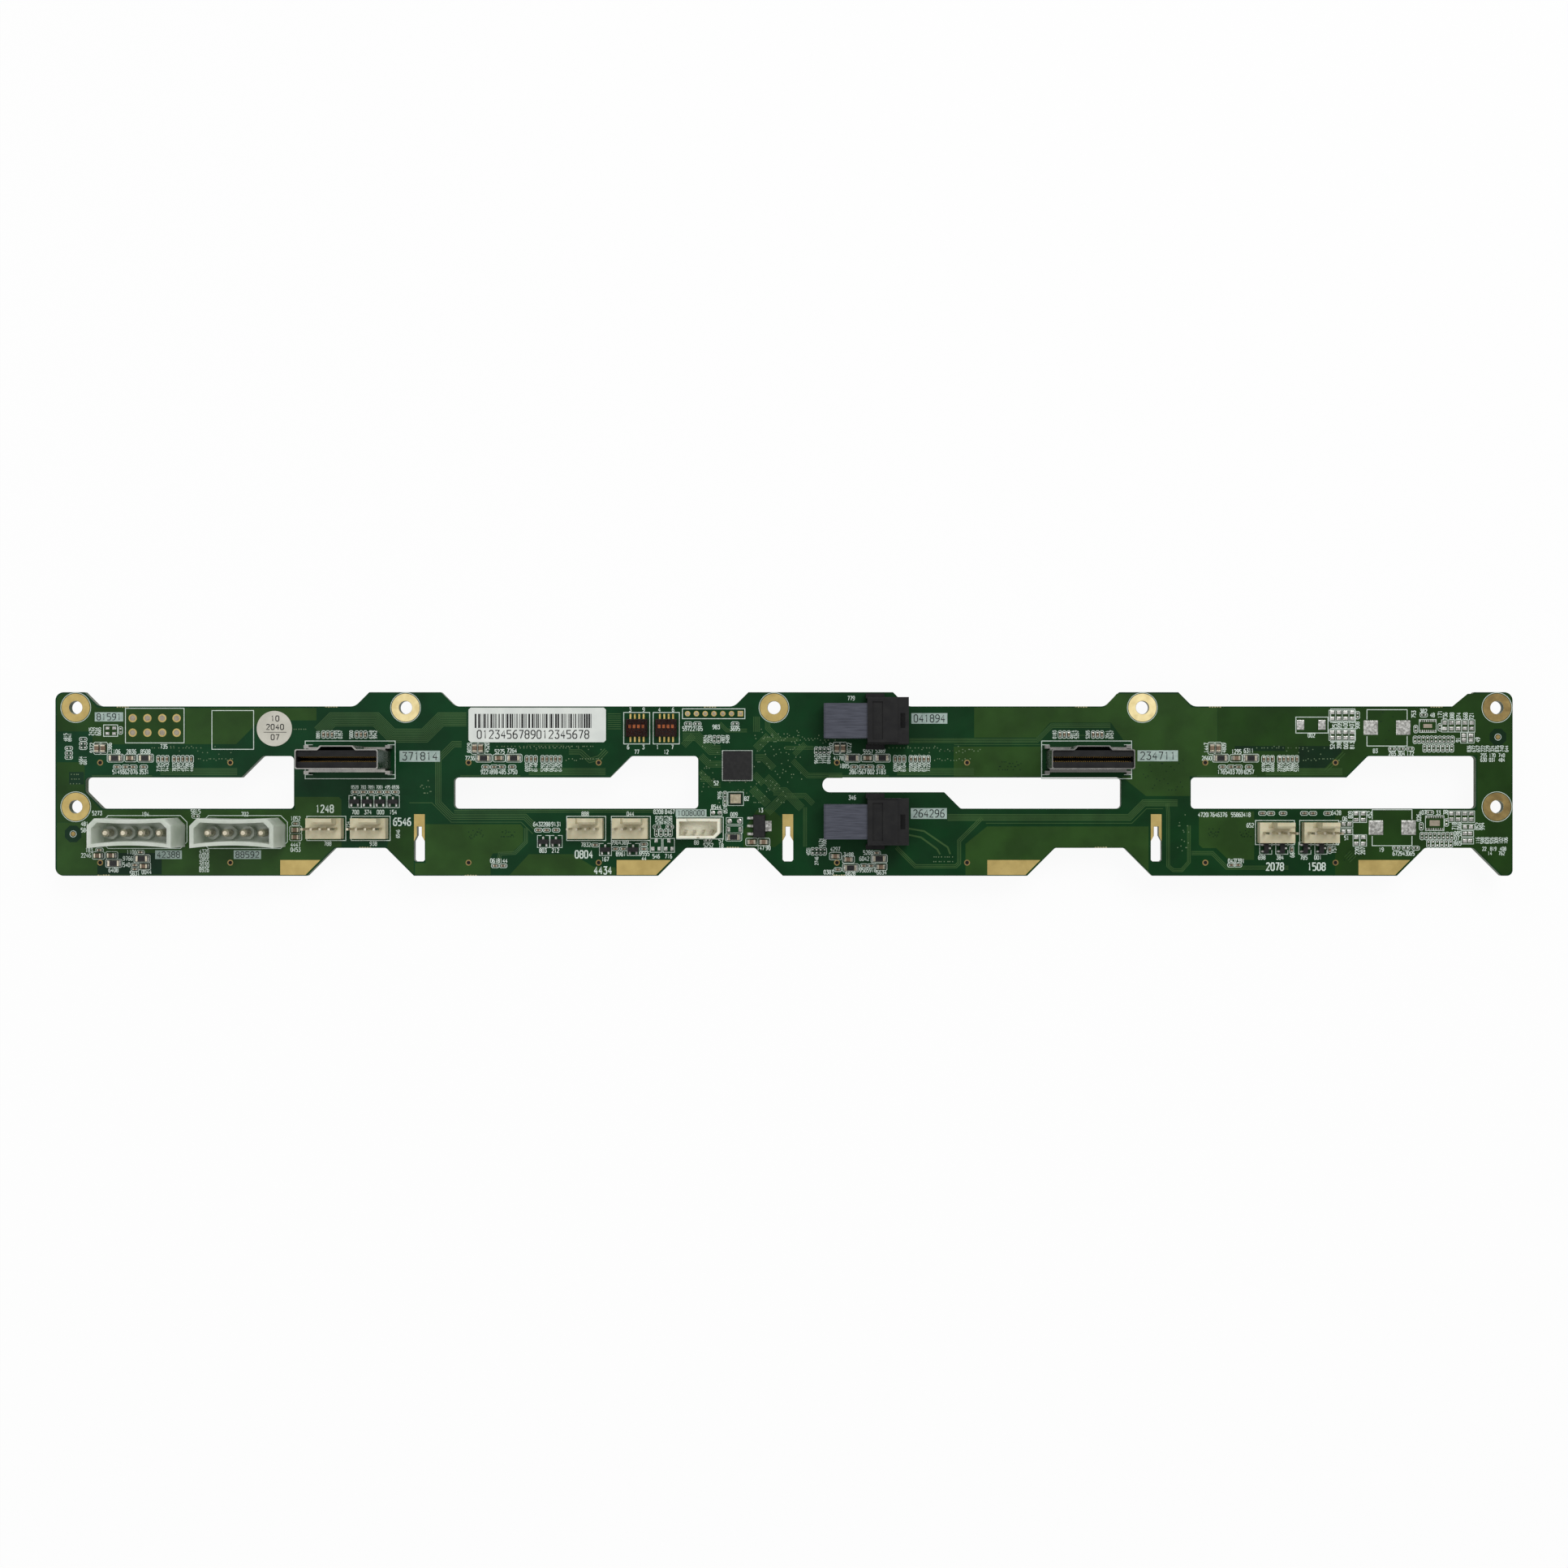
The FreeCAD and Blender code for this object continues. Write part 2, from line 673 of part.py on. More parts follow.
def port_contact_rows():
    """Both rows of contact tongues, each drawn as one strip that bulges into the slot."""
    mouth = port_shell_height - port_recess
    contacts = int((port_slot_length - 2 * port_slot_margin) / port_contact_pitch + 0.01)
    length = contacts * port_contact_pitch
    rows = []
    for side in (-1, 1):
        wall = side * port_slot_width / 2
        nose = wall - side * port_contact_depth
        corners = [V(-length / 2, wall, mouth - port_tongue_low),
                   V(-length / 2, nose, mouth - port_tongue_nose),
                   V(-length / 2, wall, mouth - port_tongue_high)]
        face = Part.Face(Part.makePolygon(corners + [corners[0]]))
        rows.append(face.extrude(V(length, 0, 0)))
    return rows


def make_ports():
    shell = port_shell()
    insulator = port_insulator()
    contacts = port_contact_rows()
    for number, place in enumerate(port_places, 1):
        x, y = place
        name = "cable_port_" + str(number)
        write(name + "_shell", [placed(shell, x, y, top_z)])
        write(name + "_insulator", [placed(insulator, x, y, top_z)])
        write(name + "_contacts", [placed(contact, x, y, top_z) for contact in contacts])


# ------------------------------------------------------------------ right-angle cable ports
def side_port_housing():
    """Hollow moulded housing, open towards +X, with ears that stand on the board."""
    length = side_port_length
    width = side_port_width
    height = side_port_height
    shape = block(length / 2, 0, 0, length, width, height)
    shape = chamfer_along(shape, side_port_chamfer,
                          lambda e: abs(e.BoundBox.ZMin - height) < 0.01
                          and e.BoundBox.YLength < 0.01)
    inner_w = width - 2 * side_port_wall
    inner_h = height - 2 * side_port_wall
    mouth = block(length, 0, side_port_wall, 2 * side_port_mouth_depth, inner_w, inner_h)
    shape = shape.cut(mouth)
    # nose inside the mouth, with two card slots
    nose_x = length - side_port_mouth_depth + side_port_nose / 2
    gap = side_port_nose_gap
    nose = block(nose_x, 0, side_port_wall + gap, side_port_nose, inner_w - 2 * gap,
                 inner_h - 2 * gap)
    shape = shape.fuse(nose)
    slot = side_port_card_slot
    for level in side_port_card_levels:
        z = side_port_wall + inner_h * level - slot / 2
        shape = shape.cut(block(nose_x, 0, z, side_port_nose, inner_w - 4 * gap, slot))
    # recessed panel, lowered front edge and latch slot in the top
    depth = side_port_recess_depth
    shape = shape.cut(block(side_port_recess_length, 0, height - depth, side_port_recess_length,
                            width - 2 * side_port_recess_margin, 2 * depth))
    shape = shape.cut(block(length - side_port_lip_length / 2, 0, height - side_port_lip_depth,
                            side_port_lip_length, width + 1, 2 * side_port_lip_depth))
    shape = shape.cut(block(length - side_port_latch_at, 0, height - 2 * side_port_wall,
                            side_port_latch_length, side_port_latch, 3 * side_port_wall))
    for side in (-1, 1):
        y = side * (width + side_port_ear_width) / 2
        ear = block(side_port_ear_at, y, 0, side_port_ear_length,
                    side_port_ear_width, side_port_ear_height)
        shape = shape.fuse(ear)
    return shape.removeSplitter()


def wafer_block():
    """Stack of contact wafers behind the housing, with a chamfered upper back edge."""
    cut = wafer_chamfer
    profile = [V(-wafer_length, 0, 0), V(0, 0, 0), V(0, 0, wafer_height),
               V(cut - wafer_length, 0, wafer_height), V(-wafer_length, 0, wafer_height - cut)]
    face = Part.Face(Part.makePolygon(profile + [profile[0]]))
    solid = face.extrude(V(0, wafer_width, 0))
    solid.translate(V(0, -wafer_width / 2, 0))
    return solid


def make_side_ports():
    housing = side_port_housing()
    wafers = wafer_block()
    for number, place in enumerate(side_port_places, 1):
        x, y = place
        name = "side_port_" + str(number)
        write(name + "_housing", [placed(housing, x, y, top_z)])
        write(name + "_wafer_block", [placed(wafers, x, y, top_z)])


# ------------------------------------------------------------------ switch blocks
def gull_lead(width, reach, shoulder):
    """Lead along +Y: out of the body at the shoulder, down, and along the board."""
    t = lead_thickness
    bend = reach * lead_bend
    profile = [(0, shoulder), (0, shoulder - t), (bend - t, shoulder - t), (bend, 0),
               (reach, 0), (reach, t), (bend + t / 2, t), (bend, shoulder)]
    points = [V(-width / 2, y, z) for y, z in profile]
    return Part.Face(Part.makePolygon(points + [points[0]])).extrude(V(width, 0, 0))


def make_switches():
    """Four-way blocks; their sliders stand in a window under a sealing film."""
    leads = []
    films = []
    for number, place in enumerate(dip_places, 1):
        x, y = place
        base = block(0, 0, 0, dip_length, dip_width, dip_height)
        base = chamfer_along(base, dip_chamfer, lambda e: abs(e.BoundBox.ZMin - dip_height) < 0.01)
        window_z = dip_height - dip_window_depth
        sliders = []
        for way in range(dip_ways):
            at = (way - (dip_ways - 1) / 2) * dip_pitch
            window = block(at, 0, window_z, dip_slider_width + 2 * dip_slider_clearance,
                           dip_window_width, dip_height)
            base = base.cut(window)
            slider = block(at, dip_slider_shift, window_z, dip_slider_width, dip_slider_length,
                           dip_window_depth)
            sliders.append(placed(slider, x, y, top_z))
            for side in (-1, 1):
                lead = block(at, side * (dip_width + dip_lead_reach) / 2, 0, dip_lead_width,
                             dip_lead_reach, lead_thickness)
                leads.append(placed(lead, x, y, top_z))
        write("dip_switch_" + str(number) + "_base", [placed(base, x, y, top_z)])
        write("dip_switch_" + str(number) + "_sliders", sliders)
        films.append(block(x, y, top_z + dip_height, dip_length - 2 * dip_film_margin,
                           dip_width - 2 * dip_film_margin, dip_film))
    write("dip_switch_leads", leads)
    write("dip_switch_films", films)


# ------------------------------------------------------------------ chips
def make_chips():
    x, y = chip_place
    body = block(x, y, top_z, chip_side, chip_side, chip_height)
    corner = chip_dimple_at - chip_side / 2
    dimple = prism(x + corner, y + corner, top_z + chip_height - chip_dimple_depth,
                   chip_dimple_r, tiny_sides, chip_height)
    write("controller_chip", [body.cut(dimple)])

    x, y = oscillator_place
    base_height = oscillator_height - oscillator_lid_height
    write("oscillator_base", [block(x, y, top_z, oscillator_length, oscillator_width,
                                    base_height)])
    write("oscillator_lid", [block(x, y, top_z + base_height,
                                   oscillator_length - 2 * oscillator_lid_margin,
                                   oscillator_width - 2 * oscillator_lid_margin,
                                   oscillator_lid_height)])

    x, y = regulator_place
    bottom = top_z + body_lift
    body = block(x, y, bottom, regulator_width, regulator_length, regulator_height)
    write("regulator_body", [chamfer_along(body, regulator_chamfer, lambda e: abs(
        e.BoundBox.ZMin - bottom - regulator_height) < 0.01)])
    leads = []
    for step, width, turn in ((-1, regulator_lead_width, 90), (0, regulator_lead_width, 90),
                              (1, regulator_lead_width, 90), (0, regulator_tab_width, -90)):
        lead = gull_lead(width, regulator_lead_reach, regulator_shoulder)
        lead.translate(V(0, regulator_width / 2, 0))
        lead.rotate(V(0, 0, 0), UP, turn)
        leads.append(placed(lead, x, y + step * regulator_lead_spacing, top_z))
    write("regulator_leads", leads)


# transistors: (place, turn); the single lead points up at turn 0
transistor_places = [((bay_2 + right, LOW + 2.05), 0) for right in (-32.8, -29.15, -25.5, -21.75)]
transistor_places += [((bay_2 + right, LOW - 9.5), 0) for right in (21.65, 25.3)]
transistor_places += [((bay_2 + right, LOW - 11.8), 0) for right in (39.55, 47.6)]
transistor_places += [((bay_4 + right, LOW - 11.4), 270) for right in (17.45, 22.1, 28.75, 33.4)]


def make_transistors():
    bodies = []
    leads = []
    for place, turn in transistor_places:
        x, y = place
        body = block(0, 0, body_lift, transistor_length, transistor_width, transistor_height)
        body.rotate(V(0, 0, 0), UP, turn)
        bodies.append(placed(body, x, y, top_z))
        reach = transistor_lead_reach
        for at, side in ((0, 1), (-transistor_lead_spacing / 2, -1),
                         (transistor_lead_spacing / 2, -1)):
            lead = block(at, side * (transistor_width + reach) / 2, 0, transistor_lead_width,
                         reach, transistor_lead_height)
            lead.rotate(V(0, 0, 0), UP, turn)
            leads.append(placed(lead, x, y, top_z))
    write("transistor_bodies", bodies)
    write("transistor_leads", leads)


# ------------------------------------------------------------------ capacitors and resistors
# each column carries the same group above its slot: (right, up, upright)
column_pair = [(1.85, 8.45, True), (3.65, 8.45, True)]
column_pair_shift = (-2.6, 0.0, -1.85, 0.0)
column_capacitors = [(8.85, 5.6, False)]
column_resistors = [(4.4, 5.6, False), (13.1, 5.6, False)]
column_small = [(right, 3.05, False) for right in (4.9, 7.4, 9.6, 12.6)]
column_small += [(right, 5.3, True) for right in (16.85, 18.1, 19.35)]
column_small += [(right, 5.3, True) for right in (21.4, 22.65, 23.9, 25.15, 26.4)]

# the rest stand alone
single_capacitors = [(bay_1 - 0.5, LOW - 13.55), (bay_1 + 3.35, LOW - 13.5), (bay_1 + 12.85, LOW - 16.6),
                     (bay_1 + 56.5, LOW - 6.1), (bay_1 + 56.5, LOW - 8.2),
                     (bay_3 - 0.45, LOW - 13.7), (bay_3 + 3.3, LOW - 14.65), (bay_3 + 12.7, LOW - 16.8),
                     (bay_3 - 24.6, LOW - 9.6), (bay_3 - 21.15, LOW - 9.6)]
single_resistors = [(bay_1 + 3.95, LOW - 15.8), (bay_1 + 12.1, LOW - 14.45), (bay_3 + 3.95, LOW - 17.1),
                    (bay_3 + 12.2, LOW - 14.45), (bay_3 - 29.85, LOW - 8.2)]
single_small = [(bay_1 - 0.2, LOW - 11.95), (bay_1 + 11.7, LOW - 12.6), (bay_1 + 10.05, LOW - 16.3),
                (bay_1 + 10.05, LOW - 17.5), (bay_1 + 56.5, LOW - 4.3)]
single_small += [(bay_2 + right, LOW + 4.8) for right in (-32.8, -30.4, -28.05, -25.75, -23.4, -21.1)]
single_small += [(bay_2 + right, LOW - 6.2) for right in (20.2, 22.6, 25.3)]
single_small += [(bay_2 + 7.7, LOW - 16.5), (bay_2 + 10.0, LOW - 16.5), (bay_2 + 36.6, LOW - 10.5),
                 (bay_2 + 42.5, LOW - 11.6), (bay_2 + 44.8, LOW - 11.6), (bay_2 + 50.7, LOW - 10.3),
                 (bay_2 + 50.7, LOW - 11.65), (bay_3 + 0.25, LOW - 17.6), (bay_3 + 7.75, LOW - 16.5),
                 (bay_3 + 9.9, LOW - 16.5), (bay_3 + 11.5, LOW - 12.8), (bay_4 + 7.5, LOW - 16.3),
                 (bay_4 + 9.45, LOW - 16.3)]
single_small += [(bay_4 + right, LOW - 1.35) for right in (16.5, 18.95, 22.45, 28.6, 31.1, 35.3)]
upright_small = [(bay_4 + 24.95, LOW - 11.85), (bay_4 + 35.95, LOW - 11.85)]
upright_small += [(port_x + right, port_y + 7.3) for port_x, port_y in port_places
                  for right in (-7.7, -6.45, -5.2, 1.9, 3.15, 4.4)]


def column_spots(group):
    """A group's places above every column's slot."""
    return [(bay + right, slot_high + up, upright)
            for bay in bays for right, up, upright in group]


def single_spots(places, upright=False):
    return [place + (upright,) for place in places]


def make_chip_parts(name, size, spots):
    """One block for each part, along X, or along Y if upright."""
    length, width, height = size
    solids = []
    for x, y, upright in spots:
        along = (width, length) if upright else (length, width)
        solids.append(block(x, y, top_z, along[0], along[1], height))
    write(name, solids)


def make_small_parts():
    pairs = [(bay + right + shift, slot_high + up, upright)
             for bay, shift in zip(bays, column_pair_shift)
             for right, up, upright in column_pair]
    make_chip_parts("capacitors", capacitor_size,
                    pairs + column_spots(column_capacitors) + single_spots(single_capacitors))
    make_chip_parts("resistors", resistor_size,
                    column_spots(column_resistors) + single_spots(single_resistors))
    make_chip_parts("small_chip_parts", small_size,
                    column_spots(column_small) + single_spots(single_small)
                    + single_spots(upright_small, True))


# ------------------------------------------------------------------ stickers
def make_stickers():
    x, y = label_place
    length, width = label_size
    label = block(x, y, top_z, length, width, paper_thickness)
    label = chamfer_along(label, label_corner, lambda e: e.BoundBox.ZLength > paper_thickness / 2)
    x, y = sticker_place
    sticker = prism(x, y, top_z, sticker_r, 3 * small_sides, paper_thickness)
    write("paper_labels", [label, sticker])


make_board()
make_drive_sockets()
make_power_headers()
make_fan_headers()
make_bus_header()
make_ports()
make_side_ports()
make_switches()
make_chips()
make_transistors()
make_small_parts()
make_stickers()
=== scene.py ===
import math
import random

import bpy
from mathutils.geometry import tessellate_polygon
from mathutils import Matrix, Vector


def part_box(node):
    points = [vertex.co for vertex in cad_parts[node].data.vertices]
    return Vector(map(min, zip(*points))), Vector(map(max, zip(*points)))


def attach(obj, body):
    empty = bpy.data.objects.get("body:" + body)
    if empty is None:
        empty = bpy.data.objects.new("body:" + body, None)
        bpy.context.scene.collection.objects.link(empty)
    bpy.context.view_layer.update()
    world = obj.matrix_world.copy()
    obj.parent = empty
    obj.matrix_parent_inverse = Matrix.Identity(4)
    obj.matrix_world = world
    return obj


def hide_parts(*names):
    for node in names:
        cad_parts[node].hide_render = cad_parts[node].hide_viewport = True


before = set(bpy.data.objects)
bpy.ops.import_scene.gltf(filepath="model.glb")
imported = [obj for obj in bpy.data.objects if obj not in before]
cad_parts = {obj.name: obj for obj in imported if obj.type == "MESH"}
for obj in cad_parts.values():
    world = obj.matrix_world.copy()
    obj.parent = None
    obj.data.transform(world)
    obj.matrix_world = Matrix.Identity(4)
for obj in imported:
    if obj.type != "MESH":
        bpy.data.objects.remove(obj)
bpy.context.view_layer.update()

# The looks of a drive backplane board, seen from straight above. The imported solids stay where
# they are. This script gives them finishes and lays the print, the copper, the solder and the
# chip parts on top. Lengths are in millimetres until a mesh is made.

MM = 0.001
random_numbers = random.Random(5)

# ------------------------------------------------------------------ places from the frame
board_low, board_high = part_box("board")
LEFT, RIGHT = board_low.x / MM, board_high.x / MM
EDGE_LOW, TAB_TOP = board_low.y / MM, board_high.y / MM
BACK, TOP = board_low.z / MM, board_high.z / MM

BAY_INSET = 12.95             # left edge to the first column's left socket peg
BAY_PITCH = 106.45
PEG_SPACING = 37.6
LOWER_BAND = 19.4             # bottom edge to the long slots
SLOT_HEIGHT = 9.0
UPPER_BAND = 20.55            # long slots to the main top edge

bays = [LEFT + BAY_INSET + column * BAY_PITCH for column in range(4)]
bay_1, bay_2, bay_3, bay_4 = bays
LOW = EDGE_LOW + LOWER_BAND   # lower and upper edge of the long slots
HIGH = LOW + SLOT_HEIGHT
EDGE_HIGH = HIGH + UPPER_BAND

# heights of the thin layers above the board's face
POUR = 0.012
TRACK = 0.022
VIA = 0.03
LAND = 0.04
SILK = 0.035
SUNK = -0.02                  # every layer starts just inside the board
POUR_STEP = 0.002             # each kind of pour lies this much above the one before
TRACK_STEP, TRACK_LEVELS = 0.0005, 13
SHARP_ANGLE = 30              # degrees between faces whose edge is rounded
MITRE_LIMIT = 0.3             # keeps the outer corner of a sharp bend short


def spots(bay, base, pairs):
    """Places measured from a column's peg and from an edge of the slots."""
    return [(bay + right, base + up) for right, up in pairs]


def islands(node):
    """Boxes (low, high) of a CAD node's separate solids, in millimetres."""
    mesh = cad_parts[node].data
    keys = [tuple(round(c / MM, 3) for c in vertex.co) for vertex in mesh.vertices]
    parent = {key: key for key in keys}

    def root(key):
        while parent[key] != key:
            parent[key] = parent[parent[key]]
            key = parent[key]
        return key

    for polygon in mesh.polygons:
        first = root(keys[polygon.vertices[0]])
        for corner in polygon.vertices[1:]:
            parent[root(keys[corner])] = first
    groups = {}
    for key in parent:
        groups.setdefault(root(key), []).append(key)
    boxes = []
    for points in groups.values():
        low = tuple(min(p[axis] for p in points) for axis in range(3))
        high = tuple(max(p[axis] for p in points) for axis in range(3))
        boxes.append((low, high))
    return sorted(boxes)


def outline(node):
    """A CAD node's box seen from above: left, low, right and high, in millimetres."""
    low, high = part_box(node)
    return low.x / MM, low.y / MM, high.x / MM, high.y / MM


def middle(box):
    (x0, y0, z0), (x1, y1, z1) = box
    return (x0 + x1) / 2, (y0 + y1) / 2


# ------------------------------------------------------------------ finishes
def linear(shade):
    """A display colour as the shader wants it."""
    return (*(((c + 0.055) / 1.055) ** 2.4 if c > 0.04045 else c / 12.92 for c in shade), 1.0)


class Graph:
    """A material's node graph, with the few links that the finishes share."""

    def __init__(self, name):
        self.material = bpy.data.materials.new(name)
        self.material.use_nodes = True
        self.tree = self.material.node_tree
        self.shader = self.tree.nodes["Principled BSDF"]
        self.place = self.add("ShaderNodeTexCoord").outputs["Object"]

    def add(self, kind, **values):
        node = self.tree.nodes.new(kind)
        for key, value in values.items():
            setattr(node, key, value)
        return node

    def link(self, source, target):
        self.tree.links.new(source, target)

    def noise(self, grain):
        """Noise whose patches are about `grain` millimetres wide."""
        node = self.add("ShaderNodeTexNoise")
        node.inputs["Scale"].default_value = 1 / (grain * MM)
        node.inputs["Detail"].default_value = 3.0
        self.link(self.place, node.inputs["Vector"])
        return node.outputs["Fac"]

    def ramp(self, source, low, high):
        node = self.add("ShaderNodeValToRGB")
        first, last = node.color_ramp.elements
        first.position, first.color = 0.35, linear(low)
        last.position, last.color = 0.65, linear(high)
        self.link(source, node.inputs["Fac"])
        return node.outputs["Color"]

    def spread(self, source, low, high, start=0.3, end=0.7):
        node = self.add("ShaderNodeMapRange")
        for socket, value in zip(("From Min", "From Max", "To Min", "To Max"),
                                 (start, end, low, high)):
            node.inputs[socket].default_value = value
        self.link(source, node.inputs["Value"])
        return node.outputs["Result"]

    def axis(self, source, letter):
        node = self.add("ShaderNodeSeparateXYZ")
        self.link(source, node.inputs[0])
        return node.outputs[letter]

    def math(self, operation, source, value=0.5):
        """A number worked out from two; the second may be another node's output."""
        node = self.add("ShaderNodeMath", operation=operation)
        self.link(source, node.inputs[0])
        if isinstance(value, float):
            node.inputs[1].default_value = value
        else:
            self.link(value, node.inputs[1])
        return node.outputs[0]

    def mix(self, share, low, high):
        node = self.add("ShaderNodeMix", data_type="RGBA")
        self.link(share, node.inputs["Factor"])
        for source, socket in ((low, node.inputs[6]), (high, node.inputs[7])):
            if isinstance(source, tuple):
                socket.default_value = linear(source)
            else:
                self.link(source, socket)
        return node.outputs[2]

    def settle(self, **values):
        """Sets the shader's own inputs, such as Roughness or Specular_IOR_Level."""
        for socket, value in values.items():
            self.shader.inputs[socket.replace("_", " ")].default_value = value

    def paint(self, colour, roughness):
        self.link(colour, self.shader.inputs["Base Color"])
        self.link(roughness, self.shader.inputs["Roughness"])

    def bump(self, height, strength, distance):
        node = self.add("ShaderNodeBump")
        node.inputs["Strength"].default_value = strength
        node.inputs["Distance"].default_value = distance * MM
        self.link(height, node.inputs["Height"])
        self.link(node.outputs["Normal"], self.shader.inputs["Normal"])


def finish(name, low, high, grain, rough, bump=None, **constants):
    """A finish that drifts between two shades over patches `grain` millimetres wide.

    The roughness drifts within `rough`, and bump is (grain, strength, depth in millimetres).
    """
    graph = Graph(name)
    graph.paint(graph.ramp(graph.noise(grain), low, high),
                graph.spread(graph.noise(grain / 3), *rough))
    if bump:
        fine, strength, distance = bump
        graph.bump(graph.noise(fine), strength, distance)
    graph.settle(**constants)
    return graph.material


def solder_mask(name, left, right, wave, bare_edge=None):
    """Green mask whose shade drifts along the board; cut edges can show the laminate."""
    graph = Graph(name)
    share = graph.spread(graph.axis(graph.place, "X"), 0.0, 1.0, LEFT * MM, RIGHT * MM)
    shade = graph.mix(share, left, right)
    cloudy = graph.ramp(graph.noise(9.0), (0.86, 0.86, 0.86), (1.0, 1.0, 1.0))
    blend = graph.add("ShaderNodeMix", data_type="RGBA", blend_type="MULTIPLY")
    blend.inputs["Factor"].default_value = 1.0
    graph.link(shade, blend.inputs[6])
    graph.link(cloudy, blend.inputs[7])
    colour = blend.outputs[2]
    if bare_edge:
        normal = graph.add("ShaderNodeNewGeometry").outputs["True Normal"]
        flat = graph.math("ABSOLUTE", graph.axis(normal, "Z"))
        weave = graph.ramp(graph.noise(0.35), *bare_edge)
        colour = graph.mix(graph.spread(flat, 0.0, 1.0, 0.45, 0.55), weave, colour)
    graph.paint(colour, graph.spread(graph.noise(4.0), 0.30, 0.42))
    graph.settle(Specular_IOR_Level=0.12)
    graph.bump(graph.noise(wave), 0.10, 0.05)
    return graph.material


mask = solder_mask("solder_mask", (0.015, 0.235, 0.115), (0.030, 0.215, 0.070), 1.2,
    bare_edge=((0.19, 0.27, 0.15), (0.26, 0.33, 0.19)))
mask_pour = solder_mask("solder_mask_over_copper", (0.175, 0.310, 0.120), (0.165, 0.290, 0.105),
    1.6)
bare_laminate = finish("bare_laminate", (0.60, 0.58, 0.42), (0.70, 0.67, 0.52), 0.5, (0.6, 0.8))
mask_mid = solder_mask("solder_mask_over_thin_copper", (0.135, 0.270, 0.090),
    (0.120, 0.245, 0.065), 1.6)
mask_deep = solder_mask("solder_mask_deep", (0.045, 0.195, 0.110), (0.045, 0.165, 0.075), 1.6)
mask_track = solder_mask("solder_mask_over_tracks", (0.265, 0.390, 0.235), (0.235, 0.360, 0.180),
    0.9)
via_tint = finish("via_tint", (0.30, 0.40, 0.27), (0.42, 0.50, 0.36), 0.6, (0.4, 0.55))
copper_land = finish("gold_land", (0.71, 0.62, 0.37), (0.77, 0.68, 0.42), 4.0, (0.35, 0.5),
    (0.35, 0.15, 0.02), Metallic=0.55)
# pale, non-metal plating for the screw hole walls: painted light that brightens walls lying in
# shade
painted_light_barrel_plate = finish("painted_light_barrel_plate", (0.88, 0.82, 0.64), (0.94, 0.88, 0.70), 2.0, (0.6, 0.7))
# a paler copy of the gold land: a painted highlight on the middle screw lands
painted_highlight_land = finish("gold_land_with_painted_highlight", (0.90, 0.82, 0.58), (0.98, 0.91, 0.68), 2.4, (0.35, 0.5),
    (0.35, 0.15, 0.02), Metallic=0.35)
# a darker copy of the gold land: painted shade on the right corner screw lands, and the duller
# tone of the socket peg lands and fiducials
dull_and_painted_shade_land = finish("gold_land_dull_and_painted_shade", (0.50, 0.42, 0.24), (0.62, 0.53, 0.32), 2.4, (0.35, 0.5),
    (0.35, 0.15, 0.02), Metallic=0.5)
solder = finish("solder", (0.55, 0.55, 0.53), (0.86, 0.86, 0.84), 0.7, (0.22, 0.42),
    (0.25, 0.3, 0.03), Metallic=0.8)
solder_dull = finish("dull_solder", (0.57, 0.53, 0.46), (0.64, 0.60, 0.53), 0.9, (0.35, 0.5),
    (0.25, 0.2, 0.03), Metallic=0.2)
silk_ink = finish("silk_ink", (0.76, 0.82, 0.78), (0.86, 0.90, 0.87), 0.6, (0.6, 0.75),
    (0.12, 0.3, 0.02))
block_ink = finish("block_ink", (0.58, 0.66, 0.63), (0.67, 0.74, 0.71), 1.4, (0.6, 0.75),
    (0.12, 0.3, 0.02))
paper = finish("label_paper", (0.84, 0.86, 0.84), (0.88, 0.90, 0.875), 5.0, (0.5, 0.6),
    (0.3, 0.1, 0.02))
sticker_paper = finish("sticker_paper", (0.76, 0.75, 0.70), (0.81, 0.80, 0.75), 4.0, (0.5, 0.6),
    (0.3, 0.1, 0.02))
print_black = finish("print_black", (0.05, 0.05, 0.055), (0.10, 0.10, 0.105), 0.5, (0.5, 0.6),
    Specular_IOR_Level=0.15)
gold = finish("gold_plate", (0.78, 0.66, 0.36), (0.92, 0.82, 0.52), 0.8, (0.2, 0.34),
    (0.2, 0.15, 0.01), Metallic=0.8)
pin_tin = finish("tin_plate", (0.68, 0.65, 0.57), (0.80, 0.77, 0.69), 0.8, (0.2, 0.35),
    (0.25, 0.2, 0.01), Metallic=0.85)
steel = finish("port_steel", (0.53, 0.53, 0.52), (0.60, 0.59, 0.57), 6.0, (0.2, 0.34),
    (0.6, 0.12, 0.02), Metallic=0.95)
black_plastic = finish("black_plastic", (0.085, 0.085, 0.09), (0.12, 0.12, 0.12), 3.0,
    (0.42, 0.6), (0.12, 0.25, 0.02), Specular_IOR_Level=0.2)
socket_plastic = finish("socket_plastic", (0.085, 0.085, 0.09), (0.13, 0.13, 0.13), 3.0,
    (0.45, 0.6), (0.12, 0.25, 0.02), Specular_IOR_Level=0.3)
natural_nylon = finish("natural_nylon", (0.73, 0.77, 0.71), (0.79, 0.82, 0.77), 4.0, (0.28, 0.4),
    (0.5, 0.1, 0.03), Subsurface_Weight=0.7, Subsurface_Scale=0.006,
    Subsurface_Radius=(1.0, 1.0, 1.0))
cream_nylon = finish("cream_nylon", (0.77, 0.74, 0.61), (0.83, 0.80, 0.68), 3.0, (0.38, 0.5),
    (0.4, 0.12, 0.02), Subsurface_Weight=0.1, Subsurface_Scale=0.001)
white_nylon = finish("white_nylon", (0.89, 0.88, 0.80), (0.93, 0.92, 0.85), 3.0, (0.38, 0.5),
    (0.4, 0.12, 0.02), Subsurface_Weight=0.1, Subsurface_Scale=0.001)
